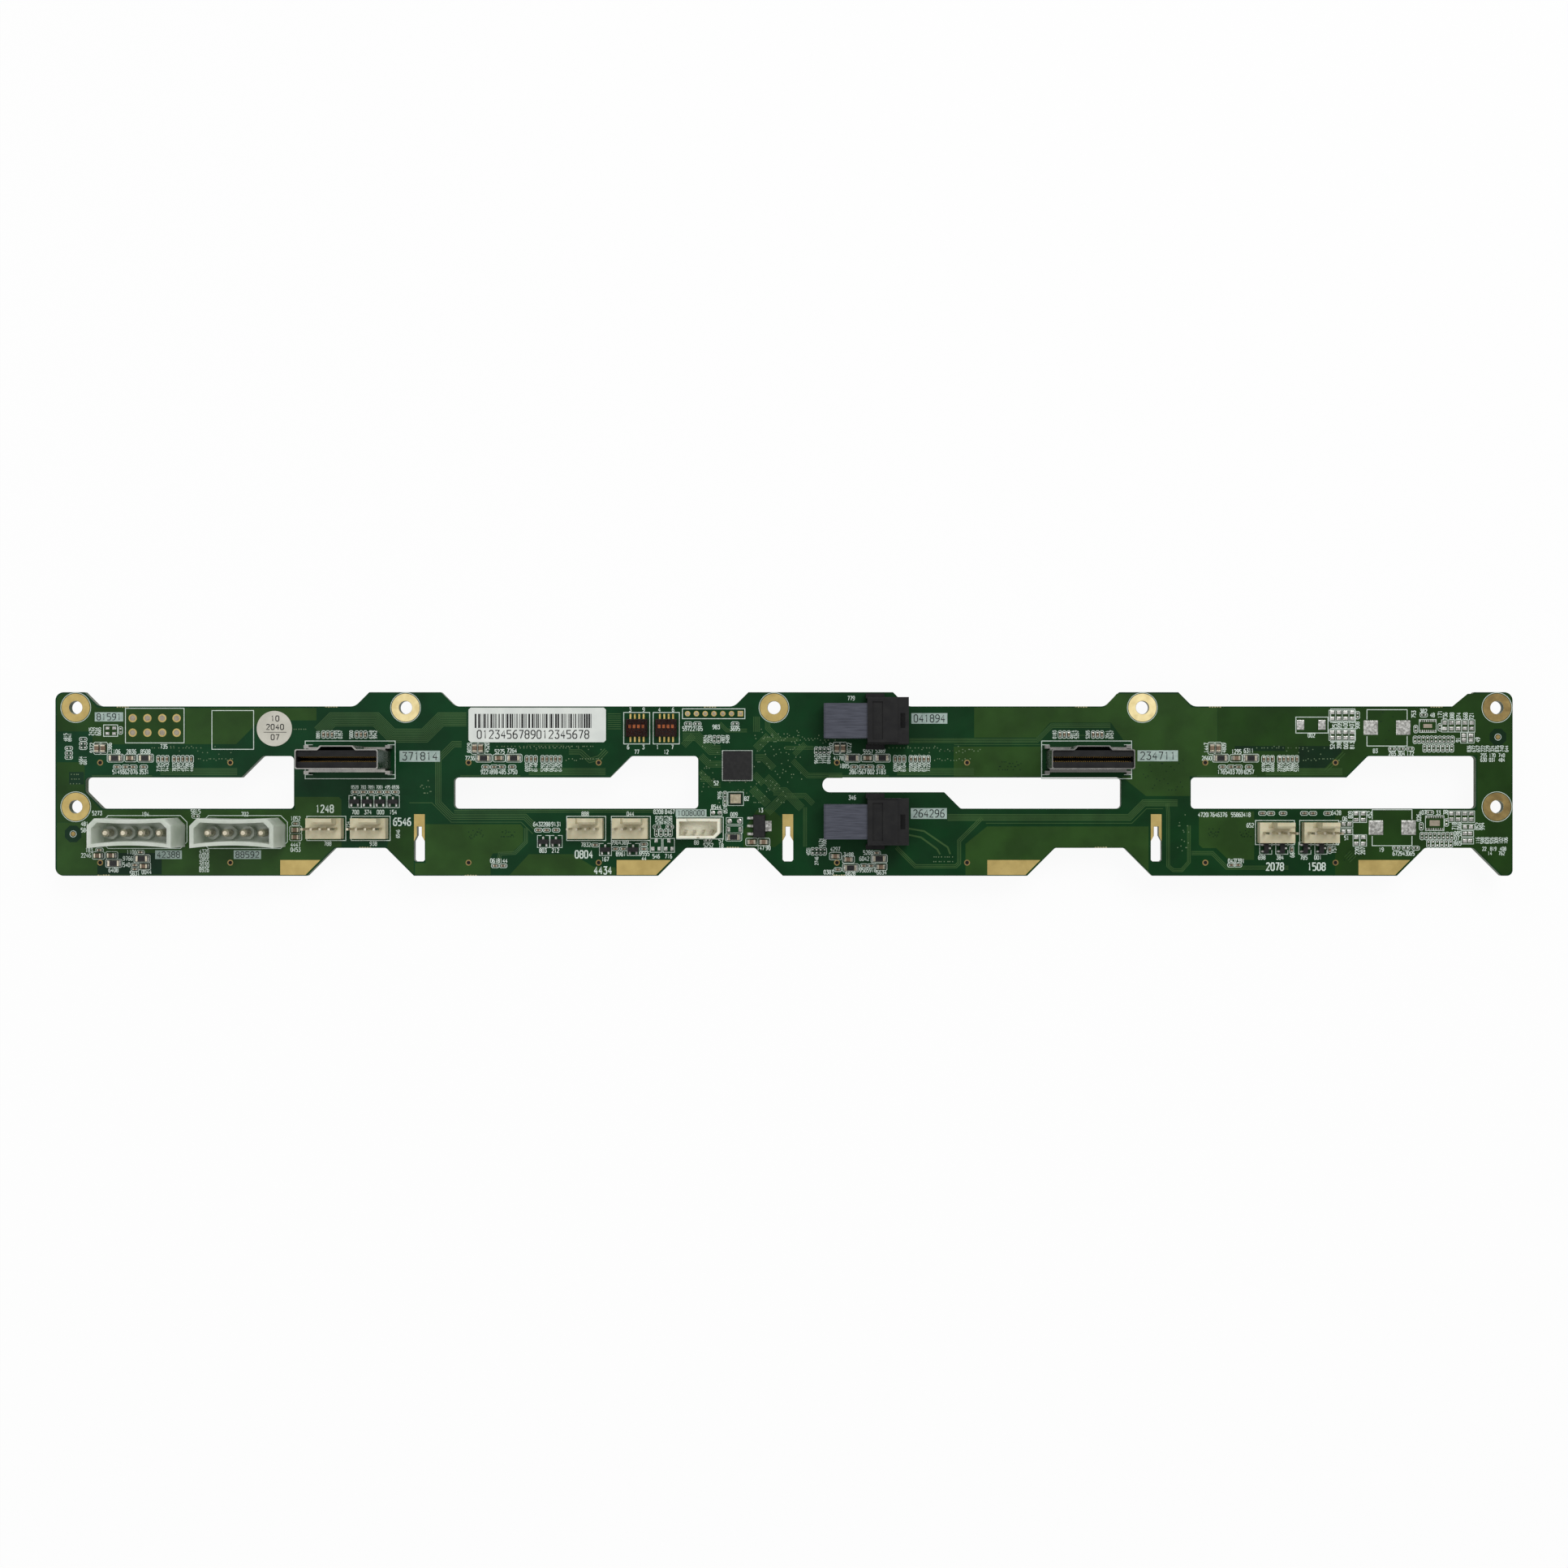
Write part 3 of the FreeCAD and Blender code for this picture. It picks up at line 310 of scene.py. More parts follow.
chip_black = finish("chip_black", (0.095, 0.095, 0.10), (0.135, 0.135, 0.135), 1.0, (0.45, 0.6),
    (0.08, 0.35, 0.02), Specular_IOR_Level=0.25)
dip_body = finish("dip_body", (0.10, 0.050, 0.040), (0.15, 0.070, 0.050), 1.2, (0.3, 0.45),
    (0.1, 0.3, 0.02), Specular_IOR_Level=0.25)
slider_orange = finish("slider_plastic", (0.84, 0.42, 0.20), (0.94, 0.54, 0.28), 0.6, (0.35, 0.5))
ceramic_tan = finish("ceramic_tan", (0.36, 0.29, 0.22), (0.50, 0.41, 0.32), 0.6, (0.4, 0.55),
    (0.1, 0.3, 0.01))
alumina = finish("alumina", (0.72, 0.71, 0.67), (0.82, 0.81, 0.77), 0.6, (0.5, 0.6))
resistor_black = finish("resistor_film", (0.08, 0.08, 0.085), (0.13, 0.13, 0.135), 0.6,
    (0.25, 0.4), Specular_IOR_Level=0.3)
lid_metal = finish("oscillator_lid_metal", (0.66, 0.62, 0.52), (0.80, 0.76, 0.66), 1.0,
    (0.25, 0.38), (0.2, 0.15, 0.01), Metallic=0.8)


def contact_rows():
    """Gold tongues side by side along the board, with dark gaps."""
    graph = Graph("contact_rows")
    comb = graph.math("PINGPONG", graph.axis(graph.place, "X"), CONTACT_PITCH / 2 * MM)
    share = graph.spread(comb, 0.0, 1.0, 0.16 * MM, 0.2 * MM)
    graph.link(graph.mix(share, (0.05, 0.045, 0.04), (0.80, 0.66, 0.36)),
               graph.shader.inputs["Base Color"])
    graph.settle(Roughness=0.35)
    return graph.material


def brushed_block():
    """The wafer block's dark plated face, with fine lines along the port."""
    graph = Graph("wafer_metal")
    stretch = graph.add("ShaderNodeMapping")
    stretch.inputs["Scale"].default_value = (1.0, 14.0, 1.0)
    graph.link(graph.place, stretch.inputs["Vector"])
    lines = graph.add("ShaderNodeTexNoise")
    lines.inputs["Scale"].default_value = 1 / (5.0 * MM)
    lines.inputs["Detail"].default_value = 5.0
    graph.link(stretch.outputs["Vector"], lines.inputs["Vector"])
    graph.paint(graph.ramp(lines.outputs["Fac"], (0.235, 0.245, 0.285), (0.30, 0.31, 0.355)),
                graph.spread(lines.outputs["Fac"], 0.32, 0.5))
    graph.settle(Specular_IOR_Level=0.3)
    graph.bump(lines.outputs["Fac"], 0.2, 0.02)
    return graph.material


def clear_film():
    """Thin dark amber tape over the switches, see-through above the sliders."""
    graph = Graph("amber_film")
    graph.paint(graph.ramp(graph.noise(1.5), (0.16, 0.06, 0.04), (0.26, 0.10, 0.06)),
                graph.spread(graph.noise(0.8), 0.12, 0.25))
    graph.settle(Alpha=0.25)
    return graph.material


CONTACT_PITCH = 0.6
wafer_metal = brushed_block()
striped_gold = contact_rows()
amber_film = clear_film()


# ------------------------------------------------------------------ mesh shapes
def mitres(points, closed=False):
    """For each point of a path, how it moves when the path shifts one millimetre to its left."""
    shifts = []
    count = len(points)
    for i, here in enumerate(points):
        ways = []
        if i > 0 or closed:
            ways.append((points[i - 1], here))
        if i < count - 1 or closed:
            ways.append((here, points[(i + 1) % count]))
        nx = sum((start[1] - end[1]) / math.dist(start, end) for start, end in ways) / len(ways)
        ny = sum((end[0] - start[0]) / math.dist(start, end) for start, end in ways) / len(ways)
        stretch = max(nx * nx + ny * ny, MITRE_LIMIT)
        shifts.append((nx / stretch, ny / stretch))
    return shifts


def rectangle(x0, y0, x1, y1, cut=0.0):
    """A rectangle's corners, or the eight that are left when each corner is cut off."""
    if not cut:
        return [(x0, y0), (x1, y0), (x1, y1), (x0, y1)]
    return [(x0 + cut, y0), (x1 - cut, y0), (x1, y0 + cut), (x1, y1 - cut), (x1 - cut, y1),
            (x0 + cut, y1), (x0, y1 - cut), (x0, y0 + cut)]


def turned(rim, counter=True):
    """A rim's points in counter-clockwise order, or in clockwise order."""
    area = sum(a[0] * b[1] - b[0] * a[1] for a, b in zip(rim, rim[1:] + rim[:1]))
    return rim if (area > 0) == counter else rim[::-1]


def new_object(name, data):
    thing = bpy.data.objects.new(name, data)
    bpy.context.scene.collection.objects.link(thing)
    return thing


class Pile:
    """Gathers closed shapes into one mesh. Heights are above the board's face."""

    def __init__(self):
        self.points = []
        self.faces = []
        self.finishes = []

    def loops(self, loops, finish_index=0, closed=False):
        """Skin through loops that have the same number of points, capped or joined up."""
        first = len(self.points)
        count = len(loops[0])
        for loop in loops:
            self.points += [(x, y, z + TOP) for x, y, z in loop]
        starts = [first + count * level for level in range(len(loops))]
        faces = []
        if not closed:
            faces = [tuple(range(starts[-1], starts[-1] + count)),
                     tuple(range(first + count - 1, first - 1, -1))]
        for here, there in zip(starts, starts[1:] + starts[:1] * closed):
            for i in range(count):
                j = (i + 1) % count
                faces.append((here + i, here + j, there + j, there + i))
        self.faces += faces
        self.finishes += [finish_index] * len(faces)

    def prism(self, rim, low, high, finish_index=0):
        self.loops([[(x, y, z) for x, y in turned(rim)] for z in (low, high)], finish_index)

    def sheet(self, rims, low, high, finish_index):
        """Slab inside the first rim and outside the others."""
        rims = [turned(rim, counter=number == 0) for number, rim in enumerate(rims)]
        flat = [point for rim in rims for point in rim]
        first = len(self.points)
        total = len(flat)
        for level in (low, high):
            self.points += [(x, y, level + TOP) for x, y in flat]
        faces = []
        for a, b, c in tessellate_polygon([[(x, y, 0.0) for x, y in rim] for rim in rims]):
            (ax, ay), (bx, by), (cx, cy) = flat[a], flat[b], flat[c]
            if (bx - ax) * (cy - ay) - (by - ay) * (cx - ax) < 0:
                b, c = c, b
            faces += [(a + total, b + total, c + total), (c, b, a)]
        start = 0
        for rim in rims:
            for i in range(len(rim)):
                a = start + i
                b = start + (i + 1) % len(rim)
                faces.append((a, b, b + total, a + total))
            start += len(rim)
        self.faces += [tuple(first + i for i in face) for face in faces]
        self.finishes += [finish_index] * len(faces)

    def block(self, x0, y0, x1, y1, low, high, finish_index=0):
        x0, x1 = min(x0, x1), max(x0, x1)
        y0, y1 = min(y0, y1), max(y0, y1)
        self.prism(rectangle(x0, y0, x1, y1), low, high, finish_index)

    def round(self, x, y, profile, sides=16, finish_index=0):
        """Turned shape from (radius, height) steps."""
        turns = [2 * math.pi * (i + 0.5) / sides for i in range(sides)]
        self.loops([[(x + r * math.cos(t), y + r * math.sin(t), z) for t in turns]
                    for r, z in profile], finish_index)

    def square(self, x, y, profile, finish_index=0):
        """Tapered block from (half length, half width, height) steps."""
        self.loops([[(u, v, z) for u, v in rectangle(x - a, y - b, x + a, y + b)]
                    for a, b, z in profile], finish_index)

    def strip(self, points, width, low, high, finish_index=0, closed=False):
        """Flat band along a path, with mitred bends."""
        half = width / 2
        loops = []
        for (x, y), (nx, ny) in zip(points, mitres(points, closed)):
            left, right = (x + nx * half, y + ny * half), (x - nx * half, y - ny * half)
            loops.append([(*left, low), (*left, high), (*right, high), (*right, low)])
        self.loops(loops, finish_index, closed)

    def ring(self, x, y, inner, outer, low, high, sides, finish_index=0):
        radius = (inner + outer) / 2
        turns = [2 * math.pi * i / sides for i in range(sides)]
        path = [(x + radius * math.cos(t), y + radius * math.sin(t)) for t in turns]
        self.strip(path, outer - inner, low, high, finish_index, closed=True)

    def frame(self, x0, y0, x1, y1, width, low=SUNK, high=SILK, finish_index=0, cut=0.0):
        """Rectangular outline; cut chamfers its corners."""
        self.strip(rectangle(x0, y0, x1, y1, cut), width, low, high, finish_index, closed=True)

    def bundle(self, points, count, pitch, width, low, high):
        """Parallel bands: the first runs on the points, the others to its right."""
        for line in range(count):
            shift = line * pitch
            shifted = [(x - nx * shift, y - ny * shift)
                       for (x, y), (nx, ny) in zip(points, mitres(points))]
            self.strip(shifted, width, low, high)

    def make(self, name, finishes, replaced=(), bevel=0.0):
        """Turns the pile into one object that rides on the board."""
        mesh = bpy.data.meshes.new(name)
        mesh.from_pydata([(x * MM, y * MM, z * MM) for x, y, z in self.points], [], self.faces)
        for item in finishes:
            mesh.materials.append(item)
        mesh.polygons.foreach_set("material_index", self.finishes)
        mesh.update()
        piece = new_object(name, mesh)
        if bevel:
            soften(piece, bevel)
        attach(piece, "root")
        if replaced:
            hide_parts(*replaced)
        return piece


def soften(piece, width):
    """Rounds a piece's sharp edges."""
    bevel = piece.modifiers.new("soft_edges", "BEVEL")
    bevel.width = width * MM
    bevel.segments = 2
    bevel.limit_method = "ANGLE"
    bevel.angle_limit = math.radians(SHARP_ANGLE)


# plain stroke digits on a grid 4 wide and 6 high
DIGITS = {
    "0": [[(0, 1), (0, 5), (1, 6), (3, 6), (4, 5), (4, 1), (3, 0), (1, 0), (0, 1)]],
    "1": [[(1, 5), (2, 6), (2, 0)]],
    "2": [[(0, 5), (1, 6), (3, 6), (4, 5), (4, 4), (0, 0), (4, 0)]],
    "3": [[(0, 6), (4, 6), (2, 3.6), (3, 3.6), (4, 2.6), (4, 1), (3, 0), (1, 0), (0, 1)]],
    "4": [[(3, 0), (3, 6), (0, 2)], [(0, 2), (4.3, 2)]],
    "5": [[(4, 6), (0, 6), (0, 3.5), (3, 3.5), (4, 2.5), (4, 1), (3, 0), (0, 0)]],
    "6": [[(4, 6), (2, 6), (0, 4), (0, 1), (1, 0), (3, 0), (4, 1), (4, 2.5), (3, 3.3), (0, 3.3)]],
    "7": [[(0, 6), (4, 6), (1.5, 0)]],
    "8": [[(3, 3.2), (1, 3.2), (0, 4), (0, 5), (1, 6), (3, 6), (4, 5), (4, 4), (3, 3.2)],
          [(1, 3.2), (0, 2.4), (0, 1), (1, 0), (3, 0), (4, 1), (4, 2.4), (3, 3.2)]],
    "9": [[(0, 0), (2, 0), (4, 2), (4, 5), (3, 6), (1, 6), (0, 5), (0, 3.6), (1, 2.8), (4, 2.8)]],
}


def write_number(pile, text, x, y, height, turn=0, pitch=0.64, weight=0.17, finish_index=0,
                 level=SILK + 0.004, bottom=SUNK):
    """Centres a number on (x, y). Turn is in degrees, and pitch is a share of the height."""
    cell_x = 0.66 * pitch * height / 4
    cell_y = height / 6
    start = -(len(text) - 0.34) * pitch * height / 2
    cos_turn, sin_turn = math.cos(math.radians(turn)), math.sin(math.radians(turn))
    for index, digit in enumerate(text):
        for layer, stroke in enumerate(DIGITS[digit]):
            path = []
            for u, v in stroke:
                across = start + index * pitch * height + u * cell_x
                up = (v - 3) * cell_y
                path.append((x + across * cos_turn - up * sin_turn,
                             y + across * sin_turn + up * cos_turn))
            pile.strip(path, weight * height, bottom, level + 0.003 * layer, finish_index)


def part_number(length):
    return "".join(random_numbers.choice("1234567890") for digit in range(length))


# ------------------------------------------------------------------ copper under the mask
pours = Pile()
tracks = Pile()
vias = Pile()
THIN, WIDE, DEEP = range(3)
CLEAR_HOLE = 2.3              # radius left clear in a pour round a screw hole
VIA_RADIUS = 0.17
VIA_GRID = 0.45


def pour(bay, base, shade, rim, holes=()):
    """A copper area under the mask, measured from a column's peg and a slot edge."""
    rims = [spots(bay, base, rim)]
    turns = [2 * math.pi * i / 24 for i in range(24)]
    for x, y in spots(bay, base, holes):
        rims.append([(x + CLEAR_HOLE * math.cos(t), y + CLEAR_HOLE * math.sin(t)) for t in turns])
    pours.sheet(rims, SUNK, POUR + POUR_STEP * shade, shade)


def track(bay, base, path, count=1, pitch=0.45, width=0.18):
    """Parallel traces under the mask, each bundle a hair above the one before."""
    level = TRACK + TRACK_STEP * (len(tracks.faces) % TRACK_LEVELS)
    tracks.bundle(spots(bay, base, path), count, pitch, width, SUNK, level)


def via_field(bay, base, x0, y0, x1, y1, count, dark=0):
    """Small plated holes, scattered on a coarse grid."""
    for number in range(count):
        x = bay + x0 + (x1 - x0) * (number + random_numbers.random() * 0.6) / count
        y = base + round(random_numbers.uniform(y0, y1) / VIA_GRID) * VIA_GRID
        vias.round(x, y, [(VIA_RADIUS, SUNK), (VIA_RADIUS, VIA)], 8, dark)


def lay_pours():
    pour(bay_1, HIGH, THIN, [(-12.5, 22.9), (-11.3, 24.2), (-4.8, 24.2), (-0.9, 20.2),
        (24.5, 20.2), (24.5, 9.6), (-2.2, 9.6), (-2.2, 13.3), (-12.5, 13.3)], [(-7.05, 20.2)])
    pour(bay_1, HIGH, THIN, [(-12.5, 4.4), (-4.5, 4.4), (-4.5, -4.2), (0.2, -9.35), (0.2, -12.9),
        (-12.5, -12.9)], [(-7.05, -8.45)])
    pour(bay_1, HIGH, DEEP, rectangle(-9.0, -2.0, -4.7, 1.6))
    pour(bay_1, HIGH, WIDE, [(24.6, 9.65), (24.6, 20.1), (62.5, 20.1), (62.5, 16.5), (46.1, 16.5),
        (39.3, 9.65)])
    pour(bay_1, LOW, WIDE, [(-12.5, -4.0), (0.2, -4.0), (0.2, -0.35), (56.3, -0.35), (56.3, 3.4),
        (69.0, 3.4), (69.7, 2.6), (69.7, -11.1), (67.6, -11.1), (59.6, -19.1), (-11.6, -19.1),
        (-12.5, -18.2)])
    pour(bay_1, LOW, DEEP, rectangle(-10.2, -9.7, -5.4, -4.9, 1.4))
    pour(bay_1, LOW, DEEP, rectangle(-0.8, -19.0, 17.8, -12.8))
    pour(bay_2, LOW, THIN, [(-22.6, -5.1), (-15.8, -5.1), (-15.8, -18.9), (-23.5, -11.2)])
    pour(bay_2, LOW, WIDE, [(-12.4, -4.5), (15.05, -4.5), (15.8, -5.5), (15.8, -9.55),
        (12.55, -12.7), (7.0, -12.95), (6.35, -14.1), (6.35, -19.1), (-15.5, -19.1),
        (-15.5, -15.7), (-12.4, -15.7)])
    pour(bay_2, LOW, WIDE, [(11.9, -19.1), (17.45, -13.15), (30.15, -13.15), (36.0, -16.75),
        (42.5, -17.0), (42.5, -19.1)])
    pour(bay_3, LOW, THIN, [(-23.15, -0.3), (-18.6, -0.3), (-16.0, -2.7), (-16.0, -9.6),
        (-17.9, -11.1), (-27.0, -11.1), (-27.0, -6.3)])
    pour(bay_4, HIGH, WIDE, [(-66.8, 20.25), (-29.2, 20.25), (-25.6, 24.2), (-7.4, 24.2),
        (-4.1, 20.25), (3.5, 20.25), (3.5, 0.35), (-4.5, 0.35), (-4.5, -5.35), (-17.15, -5.35),
        (-24.2, 0.35), (-20.95, 0.35), (-20.95, 10.75), (-23.65, 10.75), (-27.25, 15.85),
        (-44.85, 15.85), (-48.75, 11.55), (-66.8, 11.55)], [(-18.2, 20.2)])
    pour(bay_4, HIGH, WIDE, rectangle(-72.7, 0.3, -47.6, 8.95))
    pour(bay_4, LOW, WIDE, [(-63.1, -5.15), (-16.4, -5.15), (-16.4, -18.0), (-23.3, -11.2),
        (-43.6, -11.2), (-51.7, -19.1), (-69.3, -19.1), (-69.3, -10.2)])
    pour(bay_4, LOW, WIDE, [(-1.85, -0.8), (14.1, -0.8), (14.1, -14.8), (6.75, -14.8),
        (3.15, -11.4), (-0.8, -11.4), (-1.85, -10.4)])
    pour(bay_4, HIGH, THIN, [(3.6, 20.25), (71.0, 20.25), (75.8, 24.2), (87.4, 24.2),
        (88.5, 23.2), (88.5, -26.9), (87.3, -28.1), (85.8, -28.1), (77.7, -20.3), (63.2, -20.3),
        (55.1, -28.1), (37.5, -28.1), (37.5, -9.35), (78.6, -9.35), (78.6, 6.5), (46.8, 6.5),
        (40.5, 0.35), (3.6, 0.35)], [(84.25, 20.2), (84.25, -8.45)])
    pour(bay_4, HIGH, DEEP, rectangle(8.5, 7.65, 23.0, 9.1))
    pour(bay_4, HIGH, DEEP, [(26.95, 2.65), (26.95, 9.1), (39.35, 9.1), (39.35, 7.4),
        (34.4, 2.65)])
    pour(bay_4, HIGH, DEEP, rectangle(82.15, 9.3, 86.95, 14.1, 1.4))


def lay_tracks():
    for bay in bays:
        track(bay, HIGH, [(17.4, 2.6), (39.6, 2.6)], 6, 0.36, 0.17)
        track(bay, HIGH, [(-2.4, 0.6), (15.0, 0.6)], 2, 0.4, 0.15)
    track(bay_2, HIGH, [(-44.5, 14.3), (-40.1, 18.7), (-26.0, 18.7), (-21.3, 14.0), (-13.5, 14.0),
        (-8.8, 18.7), (-0.6, 18.7)], 10, 0.42, 0.22)
    track(bay_2, HIGH, [(40.2, 18.4), (44.0, 18.4)], 8, 0.62, 0.2)
    track(bay_2, HIGH, [(-2.0, 8.9), (-4.1, 8.9), (-8.0, 5.0), (-8.0, -7.0), (-4.4, -10.6),
        (16.6, -10.6), (20.2, -14.2)], 4, 0.5, 0.22)
    track(bay_2, LOW, [(-17.1, 1.7), (-10.6, 1.7), (-5.0, -3.9), (15.2, -3.9), (18.6, -7.3)])
    track(bay_2, LOW, [(-4.2, -0.5), (54.0, -0.5)], 2, 0.5, 0.2)
    track(bay_2, LOW, [(17.0, -5.6), (17.0, -9.8), (13.6, -13.2), (9.4, -13.4), (9.0, -16.0)], 3,
        0.4, 0.2)
    track(bay_2, LOW, [(-15.0, -2.6), (-12.8, -2.6)], 2, 0.5)
    track(bay_2, HIGH, [(29.0, 8.0), (32.6, 8.0), (35.2, 5.6), (37.4, 6.2), (39.4, 8.3)], 3, 0.6,
        0.24)
    track(bay_2, HIGH, [(17.0, 9.4), (27.6, 9.4)], 1, 0.5, 0.14)
    lay_chip_tracks()
    track(bay_3, LOW, [(20.7, -5.75), (25.2, -6.5), (32.0, -11.15), (32.75, -13.15)], 1, 0.5, 0.5)
    track(bay_3, LOW, [(20.7, -7.55), (24.3, -8.3), (28.95, -11.7), (29.8, -13.2)], 1, 0.5, 0.5)
    track(bay_4, LOW, [(-74.5, -1.7), (-22.3, -1.7), (-18.1, 2.5), (-8.0, 2.5)], 5, 0.42, 0.24)
    track(bay_4, LOW, [(-63.4, -4.2), (-21.2, -4.2), (-17.0, 0.0), (-12.2, 0.0)], 1)
    track(bay_4, LOW, [(-64.2, -3.0), (-70.7, -9.5), (-70.7, -15.9), (-71.9, -17.1),
        (-84.0, -17.1), (-89.6, -11.5)], 3, 0.45, 0.22)
    track(bay_4, HIGH, [(-85.5, 11.2), (-48.9, 11.2), (-44.6, 15.5), (-27.4, 15.5)], 4, 0.36, 0.18)
    track(bay_4, HIGH, [(-72.6, 9.5), (-47.8, 9.5)], 1, 0.42, 0.16)
    track(bay_4, HIGH, [(-38.8, 12.2), (-34.2, 12.2)], 1, 0.4, 0.16)
    track(bay_4, LOW, [(-10.6, 1.5), (-10.35, -1.3), (-10.35, -16.35), (-9.1, -17.4),
        (-7.0, -17.4), (-5.15, -15.3), (-5.15, -4.85)], 3, 0.4, 0.2)
    track(bay_4, LOW, [(-4.0, -12.4), (2.2, -12.4), (6.35, -16.6), (24.0, -16.6)], 3, 0.45, 0.2)
    track(bay_4, LOW, [(40.2, -14.0), (42.0, -12.2)], 4, 0.7, 0.18)
    track(bay_4, HIGH, [(34.4, 2.0), (39.9, 7.5)], 2, 0.7, 0.16)


def lay_chip_tracks():
    """Bundles that leave the bay controller chip, each past a 45 degree bend."""
    fans = [([(-44.6, 13.2), (-39.9, 13.2), (-35.9, 9.2), (-33.6, 9.2)], 7),
        ([(-38.8, 6.9), (-36.6, 4.7), (-33.4, 4.7)], 5), ([(-39.4, 0.2), (-36.6, 0.2)], 4),
        ([(-39.2, 2.2), (-35.4, -1.6), (-33.6, -1.6)], 4), ([(-45.0, 9.8), (-42.0, 12.8)], 5),
        ([(-24.2, 9.0), (-20.4, 12.8)], 6), ([(-23.6, 6.6), (-21.0, 6.6), (-17.6, 3.2)], 5),
        ([(-19.8, 0.9), (-16.4, -2.5)], 7), ([(-23.4, 1.6), (-20.6, -1.2)], 5),
        ([(-23.8, -2.4), (-19.2, -7.0)], 6), ([(-18.4, -3.0), (-14.6, -3.0), (-9.4, -8.2)], 6),
        ([(-21.0, -9.4), (-15.6, -4.2)], 6), ([(-22.4, 17.6), (-22.4, 13.2)], 5),
        ([(-19.4, 17.8), (-19.4, 14.6), (-16.6, 11.8)], 4), ([(-22.0, 11.4), (-11.0, 11.4)], 3),
        ([(-15.0, 9.0), (-6.8, 9.0)], 3), ([(-12.4, 5.4), (-8.2, 1.2), (1.6, 1.2)], 4),
        ([(-33.6, 16.0), (-31.6, 14.0), (-26.0, 14.0)], 3), ([(-12.8, 7.0), (-9.6, 10.2)], 4),
        ([(-14.6, -4.6), (-9.0, -4.6), (-6.4, -7.2)], 4), ([(-8.8, -8.6), (-8.8, -20.0)], 3)]
    for path, count in fans:
        track(bay_3, HIGH, path, count, 0.42, 0.17)


def lay_vias():
    for row in range(3):
        via_field(bay_1, HIGH, -8.6, 0.9 - 1.3 * row, -5.6, 0.9 - 1.3 * row, 4)
    for bay in bays:
        via_field(bay, HIGH, 14.6, 8.6, 30.0, 8.6, 14)
        via_field(bay, HIGH, 28.0, 4.8, 39.0, 5.6, 14)
        via_field(bay, HIGH, 19.6, 6.8, 39.0, 9.2, 12)
    for field in (
            (bay_1, HIGH, 55.6, 14.0, 60.0, 14.0, 6), (bay_2, LOW, 0.0, -8.6, 4.4, -5.8, 18, 1),
            (bay_2, LOW, 9.4, -8.6, 13.4, -5.8, 18, 1), (bay_2, LOW, -14.0, 4.4, -10.6, 8.6, 12),
            (bay_2, HIGH, 8.0, 8.8, 36.0, 8.8, 26), (bay_3, HIGH, -34.0, -7.6, -14.0, -1.0, 46),
            (bay_3, HIGH, -39.4, -4.4, -34.2, 12.0, 30),
            (bay_3, HIGH, -24.0, -2.0, -10.0, 14.4, 60), (bay_3, HIGH, -21.4, 10.0, 0.0, 12.2, 40),
            (bay_3, LOW, 27.6, -13.8, 34.0, -13.8, 8), (bay_3, LOW, 27.6, -15.2, 34.0, -15.2, 8),
            (bay_3, HIGH, 46.6, 2.0, 53.4, 4.6, 22, 1), (bay_3, HIGH, 30.0, 7.4, 42.0, 8.2, 14),
            (bay_4, HIGH, -18.0, -4.2, -6.0, 9.2, 26, 1),
            (bay_4, LOW, -8.0, -12.0, -4.6, -1.0, 16), (bay_4, LOW, 0.8, -8.4, 4.2, -5.6, 16, 1),
            (bay_4, LOW, 10.0, -8.4, 13.4, -5.6, 16, 1),
            (bay_4, LOW, 40.0, -15.4, 47.0, -11.4, 12, 1),
            (bay_4, HIGH, 46.0, 9.4, 60.0, 19.0, 16, 1)):
        via_field(*field)


lay_pours()
lay_tracks()
lay_vias()
pours.make("mask_over_pours", [mask_mid, mask_pour, mask_deep])
tracks.make("mask_over_tracks", [mask_track])
vias.make("tented_vias", [via_tint, mask_deep])

# ------------------------------------------------------------------ places on the face
CAPACITOR_SHIFTS = (-2.6, 0.0, -1.85, 0.0)
UPRIGHT_ROW = (16.85, 18.1, 19.35, 21.4, 22.65, 23.9, 25.15, 26.4)
port_centres = [(bay_2 - 34.2, HIGH + 5.1), (bay_4 - 34.3, HIGH + 5.1)]

